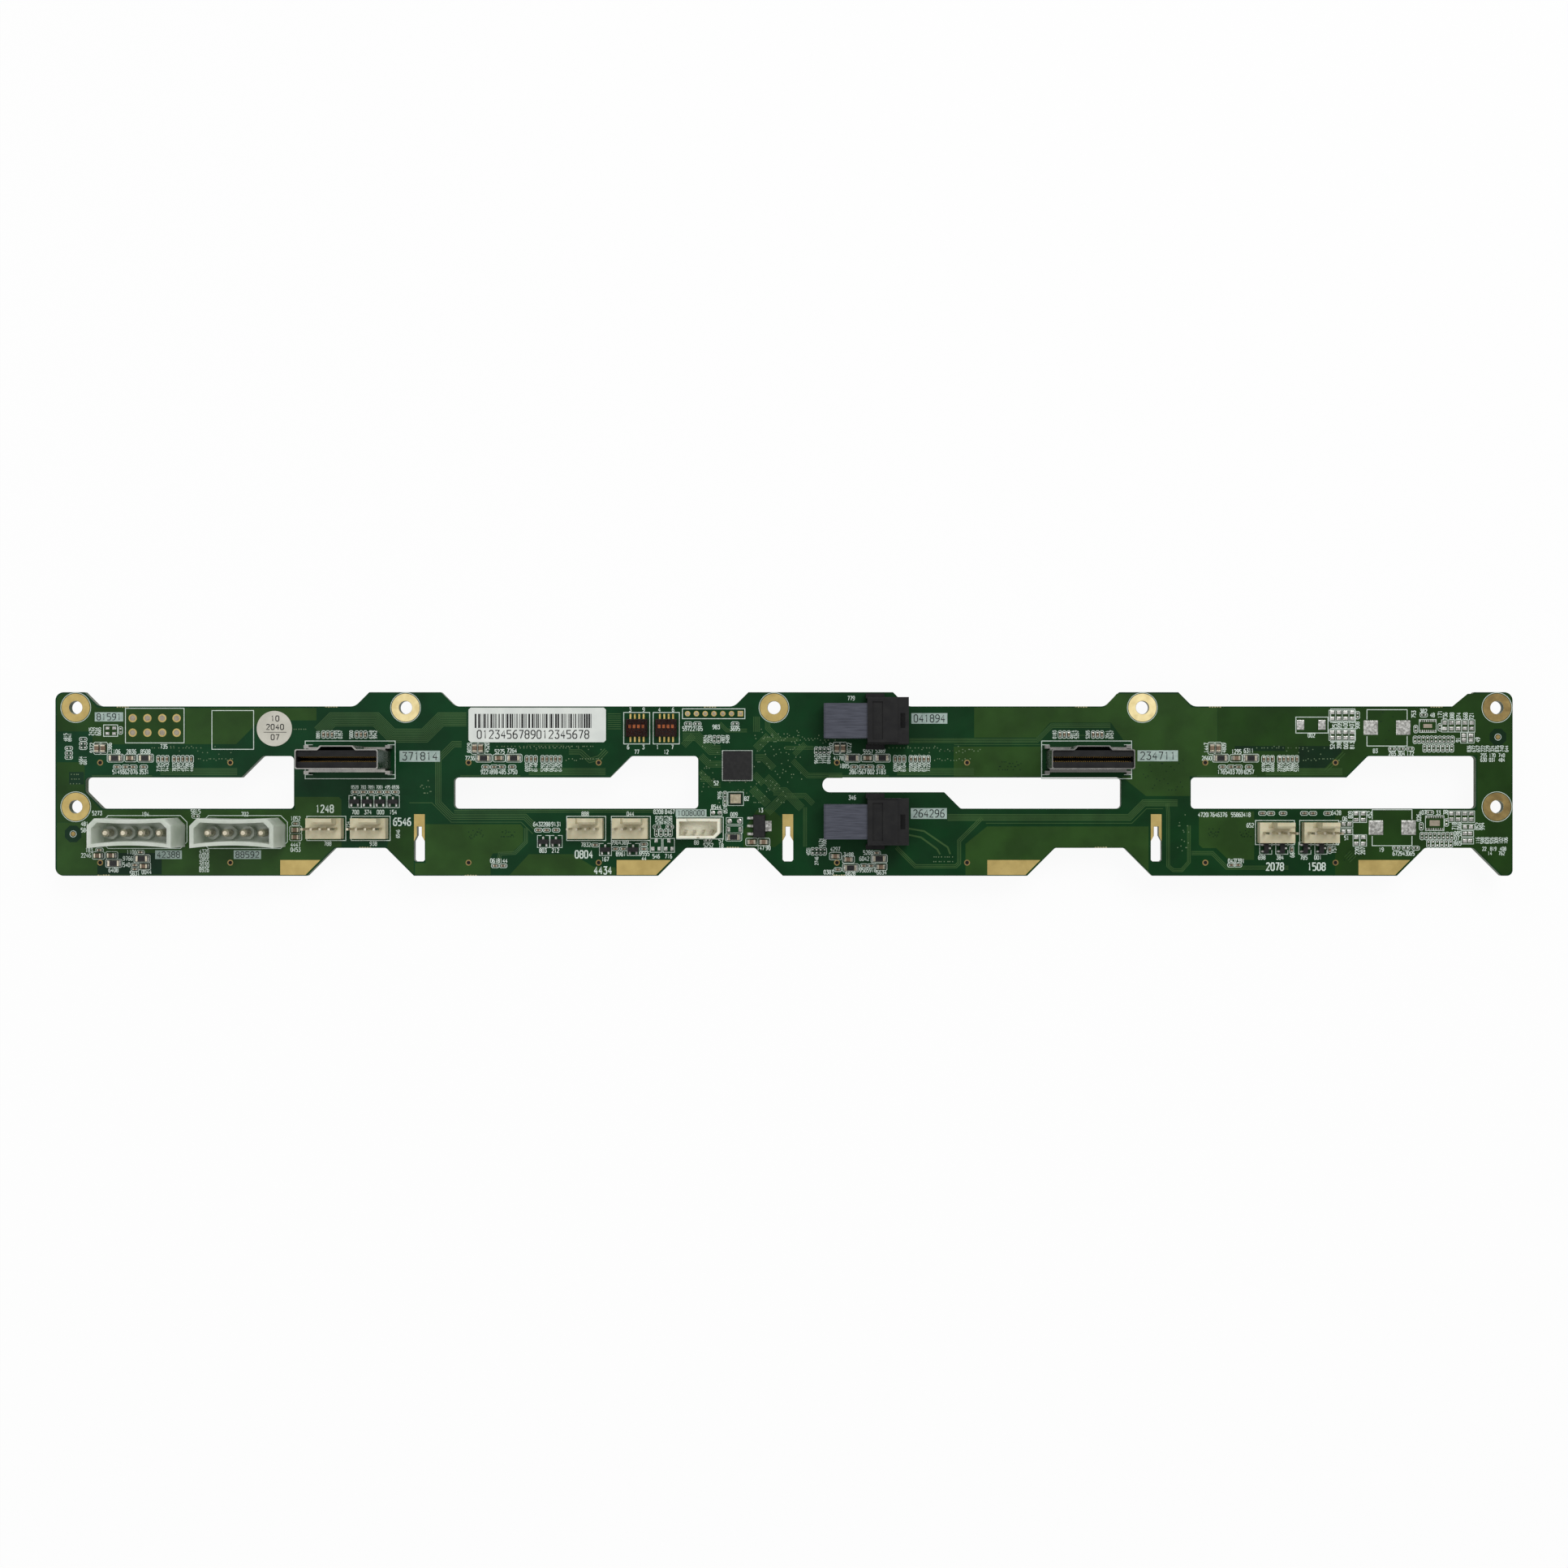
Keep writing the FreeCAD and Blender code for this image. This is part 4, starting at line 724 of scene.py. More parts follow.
# small places left without a part, as (x, y, upright)
empty_places = []
for bay, base, upright, pairs in (
        (bay_1, HIGH, False, [(-9.05, 8.45), (-9.05, 7.05), (-9.05, 5.85)]),
        (bay_1, HIGH, False, [(-4.9, 11.05), (-4.9, 9.8), (-4.9, 8.65)]),
        (bay_1, HIGH, True, [(5.9, 13.6)]), (bay_1, LOW, False, [(27.6, -2.2)]),
        (bay_2, LOW, False, [(54.4, -5.25), (58.15, -5.25)]),
        (bay_3, LOW, False, [(-37.3, -9.1)]),
        (bay_3, LOW, True, [(-32.35, 3.9), (-32.35, 1.75)]),
        (bay_3, HIGH, False, [(-29.45, 15.5)]),
        (bay_2, HIGH, False, [(63.45, 15.5), (66.1, 15.5)]),
        (bay_2, LOW, True, [(right, -6.95) for right in (54.3, 55.6, 57.0, 58.3)]),
        (bay_3, HIGH, True, [(-35.4, 11.05), (-34.2, 11.05)]),
        (bay_4, HIGH, True, [(60.6 + 1.2 * i, 10.9) for i in range(10)]),
        (bay_4, HIGH, True, [(63.4 + 1.3 * i, 8.45) for i in range(7)]),
        (bay_4, HIGH, False, [(54.0, 8.25), (56.6, 8.25), (59.2, 8.25)]),
        (bay_4, LOW, True, [(62.6 + 1.23 * i, -7.9) for i in range(8)]),
        (bay_4, LOW, True, [(64.5 + 1.28 * i, -10.15) for i in range(6)]),
        (bay_4, LOW, False, [(55.15, -11.4), (58.0, -11.4), (60.8, -11.4)]),
        (bay_4, HIGH, True, [(44.0, 18.0)]),
        (bay_4, HIGH, False, [(63.1, 18.05)]),
        (bay_4, HIGH, True, [(60.8, 14.0), (67.8, 14.5)]),
        (bay_4, LOW, False, [(64.9, -1.1)]),
        (bay_4, LOW, True, [(62.4, -5.1), (69.7, -4.0)]),
        (bay_3, HIGH, True, [(1.17 * i - 5.95, 7.75) for i in range(4)]),
        (bay_3, LOW, True, [(1.15 * i - 7.0, -12.35) for i in range(4)])):
    empty_places += [(x, y, upright) for x, y in spots(bay, base, pairs)]


# ------------------------------------------------------------------ bare lands and solder
lands = Pile()
pads = Pile()
silk = Pile()
PEG_ROWS = (HIGH + 4.3, HIGH - 24.6)

# unfitted pairs and chips at the right end, measured from the last column's peg
FOUR_HIGH = [36.65 + 1.93 * i for i in range(4)]
FIVE_HIGH = [69.15 + 1.95 * i for i in range(5)]
FOUR_LOW = [71.1 + 1.92 * i for i in range(4)]
TWO_LOW = (43.6, 45.65)
UNFITTED_CHIPS = ((HIGH, (61.8, 13.05, 66.7, 16.75)), (LOW, (63.6, -6.3, 68.95, -2.05)))

SCREW_HOLE = 1.95
SCREW_LAND = 4.05
PLATING = 0.03
SCREW_INSET = 4.45
SCREW_ROWS = 28.65
screw_high = TAB_TOP - SCREW_INSET
screw_low = screw_high - SCREW_ROWS
corner_screws = (LEFT + 5.9, RIGHT - 4.55)
middle_screws = [bay - 18.2 for bay in bays[1:]]
GOLD_LAND, PAINTED_HIGHLIGHT_LAND, DULL_AND_PAINTED_SHADE_LAND, PAINTED_LIGHT_BARREL = range(4)
CHIP_LANDS = 16               # seen along each of two sides of the controller chip
FIDUCIAL = 0.62               # radius
PEG_LAND = (0.55, 0.85)

# the darker gold copy on the right corner screw lands is painted shade
# the paler gold copy on two of the middle screw lands is a painted highlight
screws = [(corner_screws[0], screw_high, GOLD_LAND), (corner_screws[0], screw_low, GOLD_LAND),
          (middle_screws[0], screw_high, PAINTED_HIGHLIGHT_LAND), (middle_screws[1], screw_high, GOLD_LAND),
          (middle_screws[2], screw_high, PAINTED_HIGHLIGHT_LAND), (corner_screws[1], screw_high, DULL_AND_PAINTED_SHADE_LAND),
          (corner_screws[1], screw_low, DULL_AND_PAINTED_SHADE_LAND)]

KEYHOLE_LEAD = 14.2
KEY_TOP = LOW - 5.2
KEY_NECK, KEY_NECK_LOW, KEY_FLARE = 1.35, 2.6, 1.6
KEYHOLE_LAND_WIDTH = 3.1
KEYHOLE_LAND_TOP = LOW - 1.6
NOTCH_DEPTH = 8.05
NOTCH_STARTS = (67.85, 62.75, 63.0, 63.4)
EDGE_LAND_STARTS = (7.75, 11.9, 11.5, 11.1)   # left of each notch's foot
EDGE_LAND_HEIGHT = 4.3
EDGE_MARGIN = 0.25


def lay_lands():
    for x, y, shade in screws:
        lands.ring(x, y, SCREW_HOLE, SCREW_LAND, SUNK, LAND, 40, shade)
        # the hole wall's pale plating is painted light
        lands.ring(x, y, SCREW_HOLE - PLATING, SCREW_HOLE + PLATING, BACK - TOP, LAND, 40, PAINTED_LIGHT_BARREL)
    for bay in bays[1:]:
        lay_keyhole_land(bay - KEYHOLE_LEAD)
    for bay, notch, lead in zip(bays, NOTCH_STARTS, EDGE_LAND_STARTS):
        foot = bay + notch - NOTCH_DEPTH
        low = EDGE_LOW + EDGE_MARGIN
        high = low + EDGE_LAND_HEIGHT
        lands.prism([(foot - lead, low), (foot - 2 * EDGE_MARGIN, low),
                     (foot - 2 * EDGE_MARGIN + EDGE_LAND_HEIGHT, high), (foot - lead, high)],
                    SUNK, LAND, GOLD_LAND)
    for x, y in ((bay_1 - 7.8, LOW - 7.3), (bay_4 + 84.55, HIGH + 11.7)):
        lands.round(x, y, [(FIDUCIAL, SUNK), (FIDUCIAL, LAND)], 20, DULL_AND_PAINTED_SHADE_LAND)
        silk.ring(x, y, 0.85, 0.98, SUNK, SILK, 20)
    for x in [bay + reach for bay in bays for reach in (0.0, PEG_SPACING)]:
        for y in PEG_ROWS:
            lands.ring(x, y, *PEG_LAND, SUNK, LAND, 20, DULL_AND_PAINTED_SHADE_LAND)
            pads.round(x, y, [(0.57, SUNK), (0.57, LAND - 0.01)], 16, 2)


def lay_keyhole_land(x):
    """Bare copper beside a keyhole's neck, down to the shoulders of its bottle shape."""
    wide, neck = KEYHOLE_LAND_WIDTH / 2, KEY_NECK / 2 + 0.06
    top, shoulder = KEY_TOP + 0.06, KEY_TOP - KEY_NECK_LOW
    for side in (-1, 1):
        lands.prism([(x, top), (x, KEYHOLE_LAND_TOP), (x + side * wide, KEYHOLE_LAND_TOP),
                     (x + side * wide, shoulder - KEY_FLARE), (x + side * neck, shoulder),
                     (x + side * neck, top)], SUNK, LAND, GOLD_LAND)


# solder pads: half length and half width, the same for the crown, and the crown's rise
PLACE_PAD = (0.26, 0.26, 0.14, 0.14, 0.05)
FIRST_PIN_PAD = (0.5, 0.5, 0.3, 0.3, 0.05)
OSCILLATOR_PAD = (0.55, 0.42, 0.4, 0.28, 0.06)
TRANSISTOR_PAD = (0.45, 0.55, 0.32, 0.4, 0.05)
RESISTOR_PAD = (0.42, 0.62, 0.3, 0.48, 0.06)
COIL_PAD = (2.07, 2.07, 1.85, 1.85, 0.1)
CAPACITOR_PAD = (1.05, 1.4, 0.85, 1.2, 0.08)
SMALL_PAD = (0.62, 0.5, 0.48, 0.36, 0.05)
# round pads: radius, the crown's radius and its rise
POWER_DOT = (0.82, 0.5, 0.09)
HEADER_DOT = (0.52, 0.3, 0.05)
LARGE_DOT = (0.7, 0.4, 0.1)
SMALL_DOT = (0.58, 0.3, 0.07)


def lay_dot(x, y, radius, crown, rise, sides=16, look=0):
    """A round pad under a crown of solder."""
    pads.round(x, y, [(radius, SUNK), (radius, LAND), (crown, LAND + rise)], sides, look)


def lay_patches(places, half_x, half_y, crown_x, crown_y, rise, look=0):
    """Four-sided pads, each under a crown of solder."""
    for x, y in places:
        pads.square(x, y, [(half_x, half_y, SUNK), (half_x, half_y, LAND),
                           (crown_x, crown_y, LAND + rise)], look)


def lay_pads():
    power_holes = [(x, y) for y in (17.15, 12.95) for x in (9.4, 13.65, 17.95, 22.1)]
    for x, y in spots(bay_1, HIGH, power_holes):
        lands.ring(x, y, 0.8, 1.2, SUNK, LAND, 20, GOLD_LAND)
        lay_dot(x, y, *POWER_DOT, 16, 1)
    lay_patches(spots(bay_1, HIGH, [(2.1, 14.3), (4.05, 14.3), (2.1, 12.7), (4.05, 12.7)]),
                *OSCILLATOR_PAD)
    for i in range(6):
        x, y = bay_2 + 63.3 + 2.54 * i, HIGH + 18.45
        lands.ring(x, y, 0.5, 0.78, SUNK, LAND, 16, GOLD_LAND)
        lay_dot(x, y, *HEADER_DOT, 12, 1)
    x, y = bay_3 - 27.9, HIGH + 18.45
    lands.frame(x - 0.62, y - 0.62, x + 0.62, y + 0.62, 0.3, SUNK, LAND, GOLD_LAND)
    lay_patches([(x, y)], *FIRST_PIN_PAD, 1)
    for x, y, upright in empty_places:
        across, up = (0.0, 0.5) if upright else (0.5, 0.0)
        lay_patches([(x - across, y - up), (x + across, y + up)], *PLACE_PAD)
    left, low, right, high = outline("controller_chip")
    for i in range(CHIP_LANDS):
        along = 0.5 + 7.6 * i / (CHIP_LANDS - 1)
        x, y = left + along, low + along
        pads.block(left - 0.42, y - 0.11, left - 0.08, y + 0.11, SUNK, LAND)
        pads.block(x - 0.11, low - 0.42, x + 0.11, low - 0.08, SUNK, LAND)
    transistor_pads = [(54.2, -9.25), (53.25, -11.6), (55.1, -11.6), (57.9, -9.25),
                       (57.0, -11.6), (58.85, -11.6)]
    lay_patches(spots(bay_2, LOW, transistor_pads), *TRANSISTOR_PAD)
    for x, y in spots(bay_3, LOW, [(-31.05, -3.6), (-28.2, -3.6)]):
        lay_dot(x, y, *LARGE_DOT)
    for x, y in spots(bay_3, LOW, [(-35.75, -1.15), (-33.95, -1.15)]):
        lay_dot(x, y, *SMALL_DOT)
    lay_patches(spots(bay_3, LOW, [(-31.3, -6.0), (-28.0, -6.0)]), *RESISTOR_PAD)
    coil_pads = spots(bay_4, HIGH, [(47.8, 14.4), (57.2, 14.4)])
    coil_pads += spots(bay_4, LOW, [(49.3, -5.5), (58.75, -5.5)])
    lay_patches(coil_pads, *COIL_PAD)
    lay_patches(spots(bay_4, HIGH, [(27.5, 15.2), (33.7, 15.2)]), *CAPACITOR_PAD)
    small_pads = [(x, y) for x in FOUR_HIGH for y in (18.8, 17.05, 13.05, 11.45)]
    small_pads += [(x, y) for x in FIVE_HIGH for y in (15.75, 14.1)]
    small_pads += [(x, y) for x in (74.7, 76.75) for y in (12.15, 10.8)]
    lay_patches(spots(bay_4, HIGH, small_pads), *SMALL_PAD)
    small_pads = [(x, y) for x in FOUR_LOW for y in (-1.45, -3.1)]
    small_pads += [(75.05, -5.3), (76.75, -5.3)]
    small_pads += [(x, y) for x in (75.0, 76.5) for y in (-7.2, -9.35)]
    small_pads += [(x, y) for x in (39.95, 41.6) for y in (-4.5, -6.65)]
    small_pads += [(x, y) for x in TWO_LOW for y in (-1.45, -3.25, -8.3, -10.1)]
    lay_patches(spots(bay_4, LOW, small_pads), *SMALL_PAD)
    for base, (left, low, right, high) in UNFITTED_CHIPS:
        x0, y0, x1, y1 = bay_4 + left, base + low, bay_4 + right, base + high
        for i in range(8):
            x = x0 + (i + 0.5) * (x1 - x0) / 8
            for y in (y0 + 0.35, y1 - 0.35):
                pads.block(x - 0.16, y - 0.35, x + 0.16, y + 0.35, SUNK, LAND)
        pads.block(x0 + 1.2, y0 + 1.3, x1 - 1.2, y1 - 1.3, SUNK, LAND, 1)


def lay_stubs():
    """Torn places along the edges, where the board was broken out of its panel."""
    notch_edge = EDGE_LOW + NOTCH_DEPTH
    rows = [(x, EDGE_HIGH, -1) for x in (bay_1 + 4.7, bay_1 + 65.0, bay_3 - 38.5, bay_4 - 37.7,
                                         bay_4 + 1.0, bay_4 + 65.0)]
    rows += [(x, EDGE_LOW, 1) for x in (bay_1 - 0.8, bay_2 - 1.2, bay_3 - 1.2)]
    rows += [(x, notch_edge, 1) for x in (bay_2 - 31.7, bay_3 - 31.9, bay_4 - 32.0)]
    for x, y, way in rows:
        for tooth in range(STUB_TEETH):
            left = x + STUB_PITCH * tooth
            depth = 0.22 + 0.16 * random_numbers.random()
            stubs.prism([(left, y + way * 0.03), (left + 0.62, y + way * 0.03),
                         (left + 0.5, y + way * depth), (left + 0.12, y + way * depth)],
                        SUNK, TRACK)


def solder_tails():
    """A cone of solder round each pin's tail, on the board's back."""
    back = BACK - TOP
    for node, reach in (("power_header_1_pins", 1.35), ("power_header_2_pins", 1.35),
                        ("fan_header_pins", 0.75), ("bus_header_pins", 0.75)):
        for low, high in islands(node):
            if low[2] < BACK - 0.3:
                x, y = middle((low, high))
                joints.round(x, y, [(0.5 * reach, back - 0.7), (0.72 * reach, back - 0.3),
                                    (reach, back + 0.02)], 16)


def line_sockets():
    """The spring tongues along one wall of each drive socket's slot."""
    for number in range(1, 9):
        node = f"drive_socket_{number}"
        x0, y0, x1, y1 = outline(node)
        wall = (y0 + y1) / 2 - SOCKET_SLOT / 2
        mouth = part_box(node)[0].z / MM - TOP
        for tongue in range(TONGUES):
            along = (tongue - (TONGUES - 1) / 2) * TONGUE_PITCH
            if abs(along - SOCKET_KEY) > KEY_CLEAR:
                x = (x0 + x1) / 2 + along
                tongues.block(x - 0.3, wall + 0.02, x + 0.3, wall + 0.3, mouth + TONGUE_START,
                              mouth + TONGUE_END)


STUB_TEETH, STUB_PITCH = 5, 0.75
TONGUES, TONGUE_PITCH = 25, 1.27
TONGUE_START, TONGUE_END = 0.8, 5.6     # depths in the socket
SOCKET_SLOT = 2.3
SOCKET_KEY = 0.28             # where the key in the slot stands, from the socket's middle
KEY_CLEAR = 1.2               # tongues keep this far from the key's middle
joints = Pile()
tongues = Pile()
solder_tails()
line_sockets()
joints.make("tail_solder", [solder])
tongues.make("socket_tongues", [gold])
stubs = Pile()
lay_stubs()
stubs.make("break_off_stubs", [bare_laminate])
lay_lands()
lay_pads()
lands.make("bare_lands", [copper_land, painted_highlight_land, dull_and_painted_shade_land, painted_light_barrel_plate])
pads.make("solder_pads", [solder, solder_dull, print_black])

# ------------------------------------------------------------------ white print
blocks = Pile()
LINE = 0.2
FINE_LINE = 0.15
PAIR_LINE = 0.14
PAIR_WIDTH = 1.86
SCREW_RING = (4.25, 4.4)
CORNER_CUT = 0.3              # of the frames round chip parts
LABEL_INK = 1
DESIGNATOR = 1.15
SMALL_NUMBER = 0.95
LARGE_NUMBER = 2.1
label_boxes = [(bay_1 - 1.55, HIGH + 16.2, 8.2, 2.65), (bay_2 - 19.95, HIGH + 4.55, 11.7, 3.2),
               (bay_1 + 15.9, LOW - 14.55, 7.7, 2.5), (bay_1 + 38.6, LOW - 14.55, 7.9, 2.5),
               (bay_2 + 59.85, LOW - 2.35, 8.9, 2.15),
               (bay_3 + 21.5, HIGH + 15.55, 10.4, 3.05), (bay_3 + 21.35, LOW - 2.95, 10.4, 3.1),
               (bay_4 - 19.6, HIGH + 4.7, 11.7, 3.15)]


def print_label_boxes():
    for x, y, length, width in label_boxes:
        blocks.block(x, y, x + length, y + width, SUNK, SILK)
        height = 0.68 * width
        count = max(4, round(0.9 * length / (0.78 * height)))
        write_number(blocks, part_number(count), x + length / 2, y + width / 2, height, 0,
                     0.9 * length / (count * height), 0.12, LABEL_INK, SILK + 0.012, SILK - 0.01)


def pair_frame(x, y, height):
    """Box round two small pads that stand one above the other."""
    return x - PAIR_WIDTH / 2, y - height / 2, x + PAIR_WIDTH / 2, y + height / 2


def print_outlines():
    pairs_high = [pair_frame(x, y, 3.1) for x in FOUR_HIGH for y in (17.9, 12.25)]
    pairs_high += [pair_frame(x, 14.9, 3.5) for x in FIVE_HIGH]
    pairs_high += [pair_frame(x, 11.5, 3.1) for x in (74.7, 76.75)]
    pairs_low = [pair_frame(x, -2.3, 3.3) for x in FOUR_LOW]
    pairs_low += [pair_frame(x, y, 3.3) for x in TWO_LOW for y in (-2.35, -9.2)]
    for bay, base, width, boxes in (
            (bay_1, HIGH, LINE, [(7.3, 10.0, 24.25, 20.0), (32.3, 8.15, 44.35, 19.35)]),
            (bay_1, HIGH, LINE, [(1.0, 11.9, 5.05, 15.2)]),
            (bay_2, HIGH, LINE, [(61.8, 17.0, BAY_PITCH - 26.6, 19.85)]),
            (bay_2, HIGH, LINE, [(44.85, 9.7, 52.35, 18.8), (53.35, 9.7, 60.9, 18.8)]),
            (bay_4, HIGH, LINE, [(26.15, 12.85, 35.45, 17.45), (36.2, 16.0, 43.2, 19.8)]),
            (bay_4, HIGH, LINE, [(36.2, 10.4, 43.2, 14.1)]),
            (bay_4, HIGH, PAIR_LINE, pairs_high), (bay_4, LOW, PAIR_LINE, pairs_low),
            (bay_4, LOW, FINE_LINE, [(38.9, -5.35, 42.6, -3.65), (38.9, -7.5, 42.6, -5.8)]),
            (bay_4, LOW, FINE_LINE, [(73.9, -6.1, 77.8, -4.5), (74.0, -8.1, 77.5, -6.4)]),
            (bay_4, LOW, FINE_LINE, [(74.0, -10.2, 77.5, -8.5), UNFITTED_CHIPS[1][1]]),
            (bay_4, HIGH, FINE_LINE, [UNFITTED_CHIPS[0][1]]),
            (bay_3, LOW, FINE_LINE, [(-36.5, -2.1, -33.2, -0.2), (-32.0, -4.5, -27.3, -2.6)]),
            (bay_3, LOW, FINE_LINE, [(-32.0, -7.0, -27.3, -5.0)]),
            (bay_2, LOW, FINE_LINE, [(52.5, -12.6, 55.8, -8.6), (56.2, -12.6, 59.5, -8.6)])):
        for x0, y0, x1, y1 in boxes:
            silk.frame(bay + x0, base + y0, bay + x1, base + y1, width)
    print_brackets(bay_4 + 46.7, HIGH + 9.1, bay_4 + 58.3, HIGH + 19.6)
    print_brackets(bay_4 + 48.2, LOW - 10.7, bay_4 + 59.7, LOW - 0.3)
    for port in ("cable_port_1_shell", "cable_port_2_shell"):
        x0, y0, x1, y1 = outline(port)
        centre = (y0 + y1) / 2
        silk.frame(x0 - 0.6, centre - 5.45, x1 + 0.6, centre + 5.45, LINE)
        for up in (-4.3, 4.35):
            for start, end in ((x0 - 0.5, x0 + 1.6), (x1 - 1.6, x1 + 0.5)):
                silk.strip([(start, centre + up), (end, centre + up)], FINE_LINE, SUNK, SILK)
    framed = [(f"fan_header_{n}_housing", 0.55, 0.55, 0.55, 0.55, LINE, 0.0) for n in range(1, 7)]
    framed += [(f"power_header_{n}_housing", 0.5, 0.5, 0.5, 0.6, LINE, 1.9) for n in (1, 2)]
    framed += [("bus_header_housing", 0.5, 0.35, 0.5, 0.35, LINE, 0.0),
               ("controller_chip", 0.25, 0.25, 0.2, 0.2, FINE_LINE, 0.0),
               ("oscillator_base", 0.5, 0.4, 0.5, 0.4, FINE_LINE, 0.0)]
    for node, left, below, right, above, width, cut in framed:
        x0, y0, x1, y1 = outline(node)
        silk.frame(x0 - left, y0 - below, x1 + right, y1 + above, width, cut=cut)
    for x, y, _ in screws:
        silk.ring(x, y, *SCREW_RING, SUNK, SILK, 40)


def print_brackets(x0, y0, x1, y1):
    """Outline that is open at its two ends, where the pads are."""
    reach = (y1 - y0) / 2 - 2.4
    for y, step in ((y0, reach), (y1, -reach)):
        silk.strip([(x0, y + step), (x0, y), (x1, y), (x1, y + step)], LINE, SUNK, SILK)


def print_part_outlines():
    """A cut-cornered frame round each chip part, from where the part stands."""
    for node, along, across in (("capacitors", 0.75, 0.45), ("resistors", 0.75, 0.35),
                                ("small_chip_parts", 0.6, 0.32)):
        for box in islands(node):
            (x0, y0, _), (x1, y1, _) = box
            upright = y1 - y0 > x1 - x0
            grow_x, grow_y = (across, along) if upright else (along, across)
            silk.frame(x0 - grow_x, y0 - grow_y, x1 + grow_x, y1 + grow_y, FINE_LINE,
                       cut=CORNER_CUT)
    for x, y, upright in empty_places:
        grow_x, grow_y = (0.57, 1.1) if upright else (1.1, 0.57)
        silk.frame(x - grow_x, y - grow_y, x + grow_x, y + grow_y, FINE_LINE, cut=CORNER_CUT)


def notes(bay, base, turn, rows, height=DESIGNATOR):
    """Part numbers in rows of (up, how many digits each has, places to the right...)."""
    for up, counts, *places in rows:
        for digits, right in zip(counts, places):
            write_number(silk, part_number(int(digits)), bay + right, base + up, height, turn)


def print_column_notes():
    for bay, shift in zip(bays, CAPACITOR_SHIFTS):
        notes(bay, HIGH, 90, [(2.9, "4" * 8, *UPRIGHT_ROW)], SMALL_NUMBER)
        notes(bay, HIGH, 0, [(1.6, "4334", 4.95, 7.4, 9.8, 12.65)])
        notes(bay, HIGH, 90, [(8.6, "44", 0.25 + shift, 5.35 + shift)])
        notes(bay, HIGH, 0, [(7.5, "4", 9.0)])
        if bay == bay_1:
            notes(bay, HIGH, 0, [(7.5, "44", 4.4, 13.1)])
        else:
            notes(bay, HIGH, 0, [(5.6, "4", 0.4), (7.75, "4", 12.5)])


